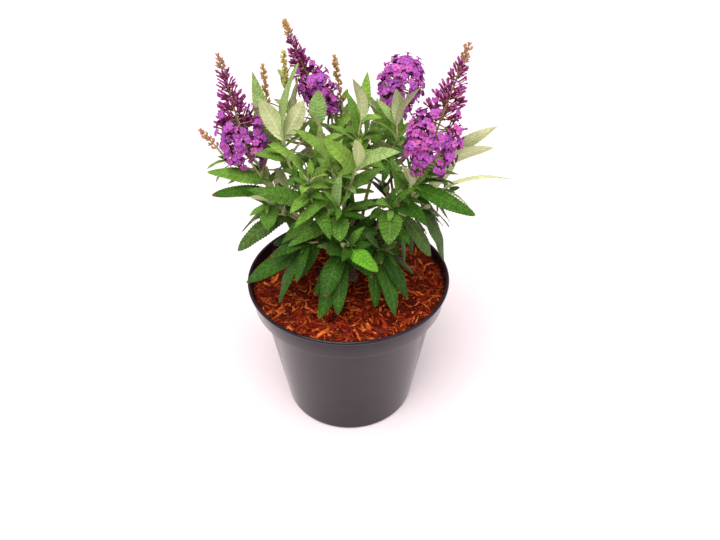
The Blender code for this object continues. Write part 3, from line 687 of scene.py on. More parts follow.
def grow():
    """Every curve, flower and leaf of the solids, and then the small leaves in their axils."""
    space = Space()
    for node in ("pot", "root_ball", "stem"):
        space.add_node(node)
    curves, flowers = {}, {}
    for name, mass in CROWN.items():
        curves[name] = shoot_curves(mass)
        space.add_node("bough_" + name)
        for i, curve in enumerate(curves[name]):
            space.add(name, limb(curve, SIDE_SHOOT_RADII if i else SHOOT_RADII, SHOOT_SIDES, SHOOT_STEPS))
        flowers[name] = [
            (curves[name][item.shoot][-1], vec(item.tip), item.width * MM, item.form, vec(item.bow))
            for item in mass.flowers
        ]
        for bloom in flowers[name]:
            for solid in coarse_flower(*bloom):
                space.add(name, solid)
    leaves = []

    def try_leaf(name, trials, clear_of_own):
        for leaf in trials:
            whole = coarse_leaf(leaf, CLEAR, LEAF_ROOT)
            outer = coarse_leaf(leaf, CLEAR / 2, clear_of_own)
            if not space.meets(name, whole, outer):
                space.add(name, coarse_leaf(leaf))
                leaves.append(leaf)
                return leaf
        return None

    grown = []
    for name, mass in CROWN.items():
        for item in mass.marks:
            base, axis = on_shoot(curves[name][item.shoot], item.at)
            tip = vec(item.tip)
            width = item.width * MM if item.width else (tip - base).length * WIDTH_OF_LENGTH
            roll = math.radians(item.roll)
            tips = [tip + vec(nudge) for nudge in MARK_NUDGES]
            trials = [leaf_at(base, place, axis, width, roll, item.look) for place in tips]
            grown.append((name, curves[name][item.shoot], try_leaf(name, trials, MARK_CLEAR_OF_OWN)))
    low_limit = MULCH_LEVEL + LEAF_FLOOR
    for number, (name, mass) in enumerate(CROWN.items()):
        dice = random.Random(SEED + number)
        for i, item in enumerate(mass.shoots):
            for trials in pair_leaves(item, curves[name][i], dice, low_limit):
                grown.append((name, curves[name][i], try_leaf(name, trials, CLEAR_OF_OWN)))
    twigs = []
    dice = random.Random(SEED)
    for name, curve, leaf in grown:
        if leaf and (leaf.tip - leaf.base).length > TWIGLESS_LEAF:
            twig, pairs = axil_twig(leaf, curve, dice)
            if [1 for trials in pairs if try_leaf(name, trials, CLEAR_OF_OWN)]:
                twigs.append(twig)
    return curves, flowers, leaves, twigs


def axil_twig(leaf, curve, dice):
    """A short twig between a leaf and its shoot, with two opposite pairs of small leaves."""
    axis = along(curve, 1)[1]
    way = ((leaf.tip - leaf.base).normalized() + axis + Vector((0, 0, 0.3))).normalized()
    end = leaf.base + way * dice.uniform(*AXIL_TWIG) * MM
    twig = (leaf.base, end)
    first = square_to(way.cross(axis + Vector((0.1, 0.2, 0))), way)
    pairs = []
    for share, opening, size in ((0.5, 62, 1.0), (1.0, 38, 0.8)):
        base = leaf.base.lerp(end, share)
        side = first if share < 1 else way.cross(first)
        for half in (-1, 1):
            length = dice.uniform(*AXIL_LEAVES) * size * MM
            trials = []
            for open_by, share_of in AXIL_TRIES:
                angle = math.radians(opening + open_by + dice.uniform(-6, 6))
                out = (way * math.cos(angle) + side * half * math.sin(angle)).normalized()
                reach = length * share_of
                width, roll = reach * AXIL_LEAF_WIDTH, dice.uniform(-0.4, 0.4)
                trials.append(leaf_at(base, base + out * reach, way, width, roll))
            pairs.append(trials)
    return twig, pairs


# Meshes from arrays

class Heap:
    """Quads gathered from many small shapes into one mesh."""

    def __init__(self):
        self.verts, self.faces, self.finishes, self.uvs = [], [], [], []
        self.count = 0

    def add(self, shape, finishes, uvs=None):
        """Adds vertices and faces, with one finish or a list of them, face by face."""
        verts, faces = shape
        self.verts.append(np.asarray(verts, float).reshape(-1, 3))
        self.faces += [[i + self.count for i in face] for face in faces]
        self.finishes += [finishes] * len(faces) if isinstance(finishes, int) else finishes
        self.uvs.append(np.zeros((len(self.verts[-1]), 2)) if uvs is None else uvs)
        self.count += len(self.verts[-1])

    def make(self, name, materials, sharp):
        made = object_of(name, np.concatenate(self.verts), self.faces, materials, sharp)
        made.data.polygons.foreach_set("material_index", self.finishes)
        corners = np.zeros(len(made.data.loops), int)
        made.data.loops.foreach_get("vertex_index", corners)
        layer = made.data.uv_layers.new(name="surface")
        layer.data.foreach_set("uv", np.concatenate(self.uvs)[corners].ravel())
        return made


def object_of(name, verts, faces, materials=(), sharp=40, holder=None):
    """An object of one mesh, smooth but for edges sharper than an angle in degrees."""
    mesh = bpy.data.meshes.new(name)
    mesh.from_pydata([tuple(v) for v in verts], [], faces)
    for material in materials:
        mesh.materials.append(material)
    if sharp:
        mesh.shade_smooth()
        mesh.set_sharp_from_angle(angle=math.radians(sharp))
    return linked(name, mesh, holder)


def linked(name, data, holder=None):
    """A new object in the scene, or in a collection that stays out of its view layer."""
    made = bpy.data.objects.new(name, data)
    (holder or bpy.context.scene.collection).objects.link(made)
    return made


def settle(piece):
    """Names the body that a piece rides."""
    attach(piece, "root")


def tube_faces(rings, sides):
    """Quads of a lofted tube with a closed foot and tip."""
    faces = []
    for near in range(0, (rings - 1) * sides, sides):
        far = near + sides
        for j in range(sides):
            k = (j + 1) % sides
            faces.append((near + j, near + k, far + k, far + j))
    foot, tip = range(sides), range((rings - 1) * sides, rings * sides)
    return faces + [tuple(foot)[::-1], tuple(tip)]


def fine_limb(curve, radius_at, sides, steps, relief=None):
    """Rings along a curve whose radius is a function of t; relief swells it by angle and t."""
    verts = []
    side = along(curve, 0)[1].orthogonal().normalized()
    for i in range(steps + 1):
        t = i / steps
        point, heading = along(curve, t)
        side = square_to(side, heading)
        other = heading.cross(side)
        for j in range(sides):
            a = math.tau * j / sides
            radius = radius_at(t) * (1 + (relief(a, t) if relief else 0))
            verts.append(point + (side * math.cos(a) + other * math.sin(a)) * radius)
    return verts, tube_faces(steps + 1, sides)


# Leaves

def drawn_up(leaf):
    """Which way the blade's upper face looks; a facing or backing leaf is turned for the viewer."""
    heading = (leaf.tip - leaf.base).normalized()
    if "facing" in leaf.look:
        return square_to(VIEWER, heading)
    if "backing" in leaf.look:
        return square_to(-VIEWER, heading)
    return leaf.up


def columns_of(leaf):
    """How far out the lengthwise lines of a blade's mesh run; a small blade has fewer."""
    return BLADE_COLUMNS if (leaf.tip - leaf.base).length > SMALL_BLADE else SMALL_BLADE_COLUMNS


def blade(leaf, dice):
    """A creased, veined blade with a toothed edge, as a closed shell."""
    base, tip, up = (np.array(v) for v in (leaf.base, leaf.tip, drawn_up(leaf)))
    chord = tip - base
    length = np.linalg.norm(chord)
    steps = int(length / STATION_LENGTH) + (8 if length > SMALL_BLADE else 6)
    t = np.linspace(0, 1, steps + 1) ** 0.94
    bend = base + chord / 2 + up * (2 * ARCH * length)
    t1 = t[:, None]
    folded = TIGHT_FOLD if "folded" in leaf.look else 1.0
    mid = (1 - t1) ** 2 * base + 2 * t1 * (1 - t1) * bend + t1 ** 2 * tip
    heading = 2 * (1 - t1) * (bend - base) + 2 * t1 * (tip - bend)
    heading /= np.linalg.norm(heading, axis=1)[:, None]
    normal = up - heading * (heading @ up)[:, None]
    normal /= np.linalg.norm(normal, axis=1)[:, None]
    side = np.cross(heading, normal)
    twist = math.radians(dice.uniform(-TWIST, TWIST)) * t1
    flat, edge = normal, side
    normal = flat * np.cos(twist) + edge * np.sin(twist)
    side = edge * np.cos(twist) - flat * np.sin(twist)
    mid += side * (dice.uniform(-SWAY, SWAY) * length * np.sin(math.pi * t1))
    age = leaf.look.split()[0]
    habit = OLD_HABIT if age in ("old", "bright") else YOUNG_HABIT
    skew, ends = BLADE_SHAPES[age]
    shape = np.maximum(np.sin(math.pi * t ** skew), 0) ** ends
    half = np.maximum(leaf.width / 2 * shape, PETIOLE * (1 - t) + 0.12 * MM)
    a = np.array(columns_of(leaf))
    reach = half[:, None] * a / folded
    if length > TOOTHLESS_BLADE:
        reach[:, [0, -1]] *= np.where(np.arange(steps + 1) % 2, 1 - TOOTH, 1 + TOOTH / 2)[:, None]
    fold = FOLD * (habit.fold - habit.flattening * t)
    lift = half[:, None] * (folded * fold[:, None] * np.abs(a) ** 1.2 + habit.rim * np.abs(a) ** 4)
    wave = np.sin(math.tau * (t1 * dice.uniform(1.6, 3.2) + np.sign(a) * 0.2 + dice.random()))
    lift += wave * WAVE * leaf.width * a ** 2
    pillow = np.abs(np.sin(math.pi * (t1 * VEIN_PAIRS - VEIN_SLANT * np.abs(a))))
    lift += pillow * habit.puff * leaf.width * np.abs(a) ** 0.5 * (1 - a ** 2) * np.sin(math.pi * t1)
    top = mid[:, None] + side[:, None] * reach[..., None] + normal[:, None] * lift[..., None]
    thick = BLADE_THICKNESS * (1 - 0.5 * np.abs(a)) * np.ones_like(lift)
    thick[:, len(a) // 2] += MIDRIB_DEPTH * leaf.width * (1 - t)
    under = top - normal[:, None] * thick[..., None]
    rows, columns = steps + 1, len(a)
    grid = np.arange(rows * columns).reshape(rows, columns)
    low = grid + rows * columns
    upper = quads(grid[:-1, :-1], grid[:-1, 1:], grid[1:, 1:], grid[1:, :-1])
    lower = quads(low[:-1, :-1], low[1:, :-1], low[1:, 1:], low[:-1, 1:])
    edges = quads(grid[:-1, -1], low[:-1, -1], low[1:, -1], grid[1:, -1])
    edges += quads(grid[:-1, 0], grid[1:, 0], low[1:, 0], low[:-1, 0])
    edges += quads(grid[0, :-1], low[0, :-1], low[0, 1:], grid[0, 1:])
    edges += quads(grid[-1, :-1], grid[-1, 1:], low[-1, 1:], low[-1, :-1])
    uv = np.stack(np.broadcast_arrays(t1, (a + 1) / 2), -1).reshape(-1, 2)
    verts = np.concatenate([top.reshape(-1, 3), under.reshape(-1, 3)])
    return verts, upper, lower, edges, np.concatenate([uv, uv])


def quads(a, b, c, d):
    return np.stack([x.ravel() for x in (a, b, c, d)], -1).tolist()


def tint_of(leaf, look, count, dice):
    """Which of its age's greens a leaf has: the darker ones low down, the lighter ones higher."""
    low, high = TINT_HEIGHTS[look]
    share = ((leaf.base.z + leaf.tip.z) / 2 - low) / (high - low)
    return max(0, min(count - 1, round(share * (count - 1) + dice.uniform(-0.9, 0.9))))


def leaf_pieces(leaves, looks):
    """One piece for each age of leaf, its tints dealt out leaf by leaf."""
    dice = random.Random(SEED + 50)
    for look, (tints, felt, scorch) in looks.items():
        heap = Heap()
        under_slot, scorch_slot = len(tints), len(tints) + 1
        for leaf in leaves:
            if leaf.look.split()[0] != look:
                continue
            verts, upper, lower, edges, uv = blade(leaf, dice)
            tint = tint_of(leaf, look, len(tints), dice)
            finishes = [tint] * len(upper) + [under_slot] * len(lower) + [tint] * len(edges)
            if look == "old" and dice.random() < SCORCHED:
                burn = (len(columns_of(leaf)) - 1) * dice.randrange(1, 3)
                finishes[len(upper) - burn:len(upper)] = [scorch_slot] * burn
            heap.add((verts, upper + lower + edges), finishes, uv)
        piece = heap.make("leaves_" + look, [*tints, felt, scorch], 60)
        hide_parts(*FOLIAGE)
        settle(piece)


# Wood

def bark_relief(a, t):
    """Ridges that run along the wood and wander round it."""
    wander = 0.6 * math.sin(5 * t + a)
    ridges = 0.045 * math.sin(7 * a + wander + 9 * t)
    return ridges + 0.03 * math.sin(13 * a - 6 * t) + 0.02 * math.sin(31 * t + 3 * a)


def make_wood(curves, bark):
    """The flared stem with its head, and a bough from the head to each mass."""
    heap = Heap()
    profile = [(radius * MM, MULCH_LEVEL + height * MM) for radius, height in STEM_PROFILE]
    for latitude in range(-44, 90, 9):
        angle = math.radians(latitude)
        profile.append((HEAD_RADIUS * math.cos(angle), HEAD_HEIGHT + HEAD_RADIUS * math.sin(angle)))
    verts = []
    for i, (radius, height) in enumerate(profile):
        for j in range(STEM_SIDES):
            a = math.tau * j / STEM_SIDES
            swell = 1 + FLARE_SWELL * math.cos(FLARE_LOBES * a + FLARE_TURN) / (1 + FLARE_FADE * i)
            swell += bark_relief(a, i / 20)
            verts.append((radius * swell * math.cos(a), radius * swell * math.sin(a), height))
    heap.add((verts, tube_faces(len(profile), STEM_SIDES)), 0)
    near, far = BOUGH_RADII
    for name, mass in CROWN.items():
        curve = bough_curve(mass, curves[name][0], sunk=4 * MM)

        def radius_at(t):
            return near + (far - near) * t + BOUGH_FLARE * (1 - t) ** 6

        heap.add(fine_limb(curve, radius_at, 20, 36, bark_relief), 1)
    piece = heap.make("woody_stem", bark, 70)
    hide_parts("stem", *BOUGHS)
    settle(piece)


def make_shoots(curves, twigs, materials):
    """Young wood below and felted green above, swollen at each pair of leaves."""
    heap = Heap()
    steps, sides = 40, 10
    for twig in twigs:
        heap.add(fine_limb(twig, lambda t: (0.5 - 0.15 * t) * MM, 5, 3), 1)
    for name, mass in CROWN.items():
        for i, item in enumerate(mass.shoots):
            near, far = FINE_SHOOT_RADII[min(i, 1)]
            last = max(1, item.pairs - 1)
            nodes = [item.first + (LAST_PAIR - item.first) * k / last for k in range(item.pairs)]

            def radius_at(t):
                knot = max(math.exp(-((t - node) / KNOT_LENGTH) ** 2) for node in nodes)
                return (near + (far - near) * t) * (1 + KNOT_SWELL * knot)

            green_from = 0.75 if "low" in name else 0.35
            finishes = [int((k // sides) / steps > green_from) for k in range(steps * sides)] + [0, 1]
            heap.add(fine_limb(curves[name][i], radius_at, sides, steps), finishes)
    piece = heap.make("shoots", materials, 70)
    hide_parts(*FOLIAGE)
    settle(piece)


# Flowers: stalks as one mesh, florets and buds set on points by Geometry Nodes

Setting = namedtuple("Setting", "place way size shape tint")


def drawn_spread(form, t):
    """Half width of a dressed spike over its greatest: a cone stays wide to its middle."""
    if form != "cone":
        return spread(form, t) * (0.95 if form == "dome" else 1.0)
    return min(1.0, 0.72 + 2.2 * t) * (1 - 0.86 * max(0.0, (t - 0.35) / 0.65) ** 0.85)


def spike_whorls(form, length):
    """How far up the spike each whorl of cymes stands, closer together towards the tip."""
    foot, tip = WHORL_GAPS[form]
    made, t = [], 0.05
    while t < 0.985:
        made.append(t)
        t += (foot + (tip - foot) * t) * MM / length
    return made


def cyme_at(form, t):
    """The kind of cyme at a share of the spike's height: open below, and then ever smaller buds."""
    if form == "bud":
        return SPECK_CYME
    if form == "dome" or t < 0.4:
        return OPEN_CYME
    return BUD_CYME if t < 0.68 else SMALL_BUD_CYME if t < 0.87 else SPECK_CYME


class Blossom:
    """The stalks of every spike, and where each of its flowers sits."""

    def __init__(self):
        self.stalks, self.settings = Heap(), []
        self.dice = random.Random(SEED + 90)

    def tint(self, shape, speck_tint):
        """Dealt out, but for the specks, which share the tint of their spike."""
        return speck_tint if shape == "speck" else self.dice.choice((0, 0, 1, 1, 2))

    def dress_spike(self, bloom, slim, speck_tint):
        """Rachis, branching stalks and the flowers of one spike."""
        base, tip, width, form, bow = bloom
        curve = arc_through(base, (base + tip) / 2 + bow, tip)
        core = RACHIS_RADII[form] * MM
        self.stalks.add(fine_limb(curve, lambda t: core * (1 - 0.55 * t), 7, 30), 0)
        for i, t in enumerate(spike_whorls(form, (tip - base).length)):
            point, axis = along(curve, t)
            reach = width / 2 * drawn_spread(form, t) * slim
            arms = 3 if cyme_at(form, t).kind == "floret" else 2
            for k in range(arms):
                turn = i * WHORL_TURN + k * math.tau / arms + self.dice.uniform(-0.3, 0.3)
                out = Quaternion(axis, turn) @ square_to(Vector((1, 0, 0)), axis)
                self.dress_cyme(point, axis, out, reach, t, form, speck_tint)
        top, axis = along(curve, 1.0)
        shape, count, drop = ("floret", 14, 7.5) if form == "dome" else ("speck", 7, 2.2)
        for k in range(count):
            lean = 0.25 + 0.11 * k if form == "dome" else 0.5
            way = (Quaternion(axis, k * GOLDEN) @ axis.orthogonal().normalized() * lean + axis).normalized()
            tint = self.tint(shape, speck_tint)
            self.settings.append(Setting(top - axis * drop * MM, way, 1.0, shape, tint))

    def dress_cyme(self, point, axis, out, reach, t, form, speck_tint):
        """A short stalk that forks, with a flower on each branch."""
        dice = self.dice
        kind, grown, count, rise, leans = cyme_at(form, t)
        start, end = BRANCH_STARTS[kind]
        crowded = 1
        if form == "dome":
            count, rise, crowded = 7, 0.5 + 1.6 * t, 0.5
        if kind == "speck":
            reach = min(reach, SPECK_REACH)
        grown = min(grown * MM, 0.85 * reach)
        stalk = max(0.5 * MM, reach - grown)
        stem_end = point + out * stalk + axis * (rise * stalk - 0.55 * rise * reach)
        stem = (point - axis * 0.5 * MM, stem_end)
        self.stalks.add(fine_limb(stem, lambda s: (0.6 - 0.2 * s) * MM, 5, 3), 1)
        for j in range(count):
            fan = Quaternion(out, j * math.tau / (count - 1) + dice.uniform(-0.4, 0.4)) @ axis
            lean = dice.uniform(*leans) if j else 0.0
            fork = stem_end
            if kind == "bud":
                fan -= axis * 0.5 * fan.dot(axis)
                fork = point.lerp(stem_end, dice.uniform(0.3, 1.0)) + axis * dice.uniform(-1.3, 1.3) * MM
            way = (out + axis * rise * 0.8 + fan * lean).normalized()
            shape = kind
            shut = SHUT_HIGH if form == "cone" and t > SHUT_LINE else SHUT
            if kind == "floret" and dice.random() < shut:
                shape = "bud"
            if kind == "bud" and t < 0.5 and dice.random() < EARLY:
                shape = "floret"
            size = dice.uniform(0.84, 1.12)
            if kind == "bud" and shape == "bud":
                size *= grown / FLORET_LENGTH
            root = fork + fan * (0.22 * lean * grown) + way * dice.uniform(start, end) * crowded * MM
            if lean:
                self.stalks.add(fine_limb((stem_end, root), lambda s: 0.36 * MM, 3, 1), 1)
            tint = self.tint(shape, speck_tint)
            if form == "dome" and shape == "floret":
                wilted = dice.random() < WILTED
                size *= WILTED_SIZE if wilted else DOME_SIZE
                tint = WILTED_TINT if wilted else tint
            self.settings.append(Setting(root, way, size, shape, tint))


def floret_mesh():
    """An open floret on its tube: four rounded lobes round a sunken throat."""
    length = FLORET_LENGTH
    verts = []
    for radius, share in TUBE_PROFILE:
        verts += ring(8, radius * MM, share * length)
    faces = tube_faces(4, 8)[:24] + [tuple(range(8))[::-1]]
    parts = [0] * 25
    back, edge = 24, 32
    for j in range(16):
        share, height, turn = LOBE_RIM[j % 4]
        a = math.tau * j / 16 + turn
        radius = FLORET_RADIUS * share
        verts.append((radius * math.cos(a), radius * math.sin(a), length * height))
    inner, deep = 48, 56
    verts += ring(8, 0.78 * MM, length) + ring(8, 0.5 * MM, length * 0.9)
    for j in range(16):
        near, far = j // 2, (j // 2 + 1) % 8
        a, b = edge + j, edge + (j + 1) % 16
        if j % 2 == 0:
            faces += [(inner + near, a, b), (back + near, b, a)]
        else:
            faces += [(inner + near, a, b, inner + far), (back + near, back + far, b, a)]
        parts += [1, 1]
    for j in range(8):
        k = (j + 1) % 8
        faces.append((inner + k, deep + k, deep + j, inner + j))
    faces.append(tuple(range(deep, deep + 8)))
    return verts, faces, parts + [2] * 9


def turned_mesh(profile, sides, tip_from):
    """A small closed shape of radii and heights in millimetres, its tip a part of its own."""
    verts = [v for radius, height in profile for v in ring(sides, radius * MM, height * MM)]
    parts = [int(k // sides >= tip_from) for k in range(sides * (len(profile) - 1))] + [0, 1]
    return verts, tube_faces(len(profile), sides), parts


def make_flowers(flowers, looks):
    blossom = Blossom()
    speck_tints = iter(SPECK_TINTS)
    for name in CROWN:
        for *spike, bow in flowers[name]:
            bow = Vector() if name in STRAIGHT_SPIKES else bow
            blossom.dress_spike((*spike, bow), SLIM_SPIKES.get(name, 1.0), next(speck_tints))
    piece = blossom.stalks.make("flower_stalks", [looks["rachis"], looks["stalk"]], 70)
    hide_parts(*FOLIAGE)
    settle(piece)
    shapes = {
        "floret": (floret_mesh(), 3),
        "bud": (turned_mesh(BUD_PROFILE, 6, 3), 2),
        "speck": (turned_mesh(SPECK_PROFILE, 5, 2), 2),
    }
    for kind, (shape, parts) in shapes.items():
        points = point_cloud(kind + "_points", [item for item in blossom.settings if item.shape == kind])
        tree = setting_tree(kind + "_setting", parts, looks[kind])
        values = {"Shapes": templates_of(kind + "_shape", [shape]), "Size": 1.0}
        piece = run_tree(points, tree, values, kind + "s")
        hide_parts(*FOLIAGE)
        settle(piece)
        bpy.data.objects.remove(points)


def point_cloud(name, settings):
    """Points with the attributes that the setting tree reads."""
    made = object_of(name, [item.place for item in settings], [], sharp=None)
    dice = random.Random(len(settings))
    turns = []
    for item in settings:
        spin = Quaternion((0, 0, 1), dice.uniform(0, math.tau))
        turns += list((item.way.to_track_quat("Z", "Y") @ spin).to_euler())
    for title, kind, key, values in (
        ("turn", "FLOAT_VECTOR", "vector", turns),
        ("size", "FLOAT", "value", [item.size for item in settings]),
        ("tint", "INT", "value", [item.tint for item in settings]),
    ):
        made.data.attributes.new(title, kind, "POINT").data.foreach_set(key, values)
    return made


# Node trees

def node(tree, kind, inputs=None, **settings):
    """A node with its settings; an input, by name or number, takes a value or a socket to join."""
    made = tree.nodes.new(kind)
    for key, value in settings.items():
        setattr(made, key, value)
    for key, value in (inputs or {}).items():
        if isinstance(value, bpy.types.NodeSocket):
            tree.links.new(value, made.inputs[key])
        elif value is not None:
            made.inputs[key].default_value = value
    return made


def made_by(tree, kind, inputs=None, **settings):
    """The output in use of a new node."""
    return next(socket for socket in node(tree, kind, inputs, **settings).outputs if socket.enabled)


def maths(tree, operation, first, second=None, third=None):
    return made_by(tree, "ShaderNodeMath", {0: first, 1: second, 2: third}, operation=operation)


def node_group(name, kind, inputs, outputs):
    """A node tree with named sockets, and the sockets at its two ends."""
    tree = bpy.data.node_groups.new(name, kind)
    for way, sockets in (("INPUT", inputs), ("OUTPUT", outputs)):
        for title, sort, *usual in sockets:
            made = tree.interface.new_socket(name=title, in_out=way, socket_type="NodeSocket" + sort)
            if usual:
                made.default_value = usual[0]
    return tree, node(tree, "NodeGroupInput").outputs, node(tree, "NodeGroupOutput").inputs


def named(tree, name, kind):
    reader = node(tree, "GeometryNodeInputNamedAttribute", {"Name": name}, data_type=kind)
    return reader.outputs["Attribute"]


def finish_by_code(tree, geometry, code, materials):
    """Set Material for each code in turn."""
    for k, material in enumerate(materials):
        same = made_by(tree, "FunctionNodeCompare", {2: code, 3: k}, data_type="INT", operation="EQUAL")
        inputs = {"Geometry": geometry, "Selection": same, "Material": material}
        geometry = made_by(tree, "GeometryNodeSetMaterial", inputs)
    return geometry


def set_on_points(tree, points, shapes, turn, size, which=None):
    """Real copies of a collection's shapes on points, each turned and sized by its point."""
    inputs = {"Collection": shapes, "Separate Children": True, "Reset Children": True}
    put = made_by(tree, "GeometryNodeInstanceOnPoints", {
        "Points": points,
        "Instance": made_by(tree, "GeometryNodeCollectionInfo", inputs),
        "Pick Instance": True,
        "Instance Index": which,
        "Rotation": made_by(tree, "FunctionNodeEulerToRotation", {"Euler": turn}),
        "Scale": size,
    })
    return made_by(tree, "GeometryNodeRealizeInstances", {"Geometry": put})


def setting_tree(name, parts, materials):
    """Sets a shape on each point, turned, sized and tinted by the point's own attributes."""
    tree, given, result = node_group(
        name, "GeometryNodeTree",
        [("Points", "Geometry"), ("Shapes", "Collection"), ("Size", "Float", 1.0)],
        [("Blossom", "Geometry")],
    )
    size = maths(tree, "MULTIPLY", named(tree, "size", "FLOAT"), given["Size"])
    turn = named(tree, "turn", "FLOAT_VECTOR")
    real = set_on_points(tree, given["Points"], given["Shapes"], turn, size)
    code = maths(tree, "MULTIPLY_ADD", named(tree, "tint", "INT"), parts, named(tree, "part", "INT"))
    tree.links.new(finish_by_code(tree, real, code, materials), result["Blossom"])
    return tree


def templates_of(name, shapes):
    """Shapes for a tree, kept out of the view layer, whose faces say which part they are."""
    holder = bpy.data.collections.new(name)
    for k, (verts, faces, parts) in enumerate(shapes):
        made = object_of(f"{name}_{k}", verts, faces, sharp=50, holder=holder)
        made.data.attributes.new("part", "INT", "FACE").data.foreach_set("value", parts)
    return holder


def plain_mesh(source):
    """An object's mesh as its modifiers leave it; they are removed."""
    bpy.context.view_layer.update()
    mesh = bpy.data.meshes.new_from_object(source.evaluated_get(bpy.context.evaluated_depsgraph_get()))
    source.modifiers.clear()
    return mesh


def run_tree(source, tree, values, name):
    """The result of a Geometry Nodes tree on an object, as a plain mesh object."""
    live = source.modifiers.new(tree.name, "NODES")
    live.node_group = tree
    for item in tree.interface.items_tree:
        if item.item_type == "SOCKET" and item.in_out == "INPUT" and item.name in values:
            live[item.identifier] = values[item.name]
    mesh = plain_mesh(source)
    mesh.name = name
    return linked(name, mesh)


# Pot

def inner_side():
    """The inside of the pot's wall, from its floor up, as radii and heights."""
    return [
        (FOOT_RADIUS - POT_WALL, FLOOR),
        (WALL_TOP_RADIUS - POT_WALL, COLLAR_FOOT + 0.9 * MM),
        (COLLAR_RADIUS - POT_WALL, COLLAR_FOOT + 2.4 * MM),
        (NECK_RADIUS - POT_WALL, POT_HEIGHT - 1.6 * MM),
    ]


def rounded(profile, share=0.3, most=1.2 * MM):
    """A profile whose inner corners are rounded by three points each."""
    made = [profile[0]]
    for before, corner, after in zip(profile, profile[1:], profile[2:]):
        before, corner, after = Vector(before), Vector(corner), Vector(after)
        near = corner + (before - corner).normalized() * min(most, share * (before - corner).length)
        far = corner + (after - corner).normalized() * min(most, share * (after - corner).length)
        made += [tuple(near), tuple((near + far) / 4 + corner / 2), tuple(far)]
    return made + [profile[-1]]


def make_pot(plastic):
    top = POT_HEIGHT
    profile = rounded([
        (0.0, 0.0),
        (FOOT_RADIUS - FOOT_EDGE, 0.0),
        (FOOT_RADIUS, FOOT_EDGE),
        (FOOT_RADIUS + 0.4 * MM, 5 * MM),
        (WALL_TOP_RADIUS, COLLAR_FOOT - 1 * MM),
        (COLLAR_RADIUS, COLLAR_FOOT + 0.6 * MM),
        (NECK_RADIUS, top - BEAD_HEIGHT),
        (RIM_RADIUS, top - BEAD_HEIGHT + 0.8 * MM),
        (RIM_RADIUS, top - 0.9 * MM),
        (RIM_RADIUS - 0.9 * MM, top),
        (NECK_RADIUS - POT_WALL + 0.7 * MM, top),
        *reversed(inner_side()),
        (0.0, FLOOR),
    ])
    verts = [v for radius, height in profile for v in ring(POT_SIDES, max(radius, PINHOLE), height)]
    pot = object_of("nursery_pot", verts, tube_faces(len(profile), POT_SIDES), [plastic], POT_EDGE)
    cutter = drain_cutter()
    cut = pot.modifiers.new("drains", "BOOLEAN")
    cut.operation = "DIFFERENCE"
    cut.object = cutter
    pot.data = plain_mesh(pot)
    bpy.data.objects.remove(cutter)
    pot.data.set_sharp_from_angle(angle=math.radians(POT_EDGE))
    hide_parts("pot")
    settle(pot)


def drain_cutter():
    """Short round rods where the drains go through the floor."""
    sides = 32
    verts, faces = [], []
    for i in range(DRAIN_COUNT):
        a = math.tau * (i + 0.5) / DRAIN_COUNT
        x, y = DRAIN_CIRCLE * math.cos(a), DRAIN_CIRCLE * math.sin(a)
        for height in (-6 * MM, 6 * MM):
            verts += [(x + u, y + v, z) for u, v, z in ring(sides, DRAIN_RADIUS, height)]
        start = 2 * sides * i
        faces += [tuple(k + start for k in face) for face in tube_faces(2, sides)]
    return object_of("drain_cutter", verts, faces)


# Mulch

def mulch_height(x, y):
    """The heave of the mulch over its level."""
    rough = math.sin(x * 190 + 1.3) * math.cos(y * 170) + 0.6 * math.sin(x * 420 + y * 380 + 2.0)
    heap = MULCH_HEAP * math.exp(-(x * x + y * y) / HEAP_RADIUS ** 2)
    return MULCH_LIFT + MULCH_HEAVE * 0.5 * rough + heap


def make_root_ball(compost, ground):
    """The root ball inside the pot, with a heaving top."""
    inside = [(radius - SOIL_FIT, height + SOIL_FIT) for radius, height in inner_side()[:3]]
    verts = ring(MULCH_SIDES, PINHOLE, FLOOR + SOIL_FIT)
    for radius, height in inside:
        verts += ring(MULCH_SIDES, radius, height)
    for i in range(MULCH_RINGS):
        radius = MULCH_RADIUS * (1 - i / MULCH_RINGS)
        for x, y, z in ring(MULCH_SIDES, radius, MULCH_LEVEL, i * 0.37 % 1):
            verts.append((x, y, z + mulch_height(x, y)))
    faces = tube_faces(1 + len(inside) + MULCH_RINGS, MULCH_SIDES)
    ball = object_of("root_ball_and_mulch", verts, faces, [compost, ground], 60)
    side_faces = MULCH_SIDES * (len(inside) + 1)
    finishes = [int(k >= side_faces) for k in range(len(faces))]
    finishes[-2] = 0
    ball.data.polygons.foreach_set("material_index", finishes)
    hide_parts("root_ball")
    settle(ball)
    return ball


def chip_shapes():
    """Splinters of bark, one unit long along X: fibres, slivers and broad chips."""
    dice = random.Random(SEED + 5)
    faces = tube_faces(4, 4)
    made = []
    for wide, thick in CHIP_SECTIONS:
        verts = []
        for t, share in ((-0.5, 0.35), (-0.2, 1.0), (0.18, 0.9), (0.5, 0.3)):
            bend = 0.12 * (t * t) * dice.choice((-1, 1))
            for y, z in ((-1, 0.2), (0.1, -1), (1, 0), (-0.1, 1)):
                y += dice.uniform(-0.3, 0.3)
                x = t + dice.uniform(-0.05, 0.05)
                verts.append((x, y * wide / 2 * share, z * thick / 2 * share + bend))
        made.append((verts, faces, [0] * len(faces)))
    return made


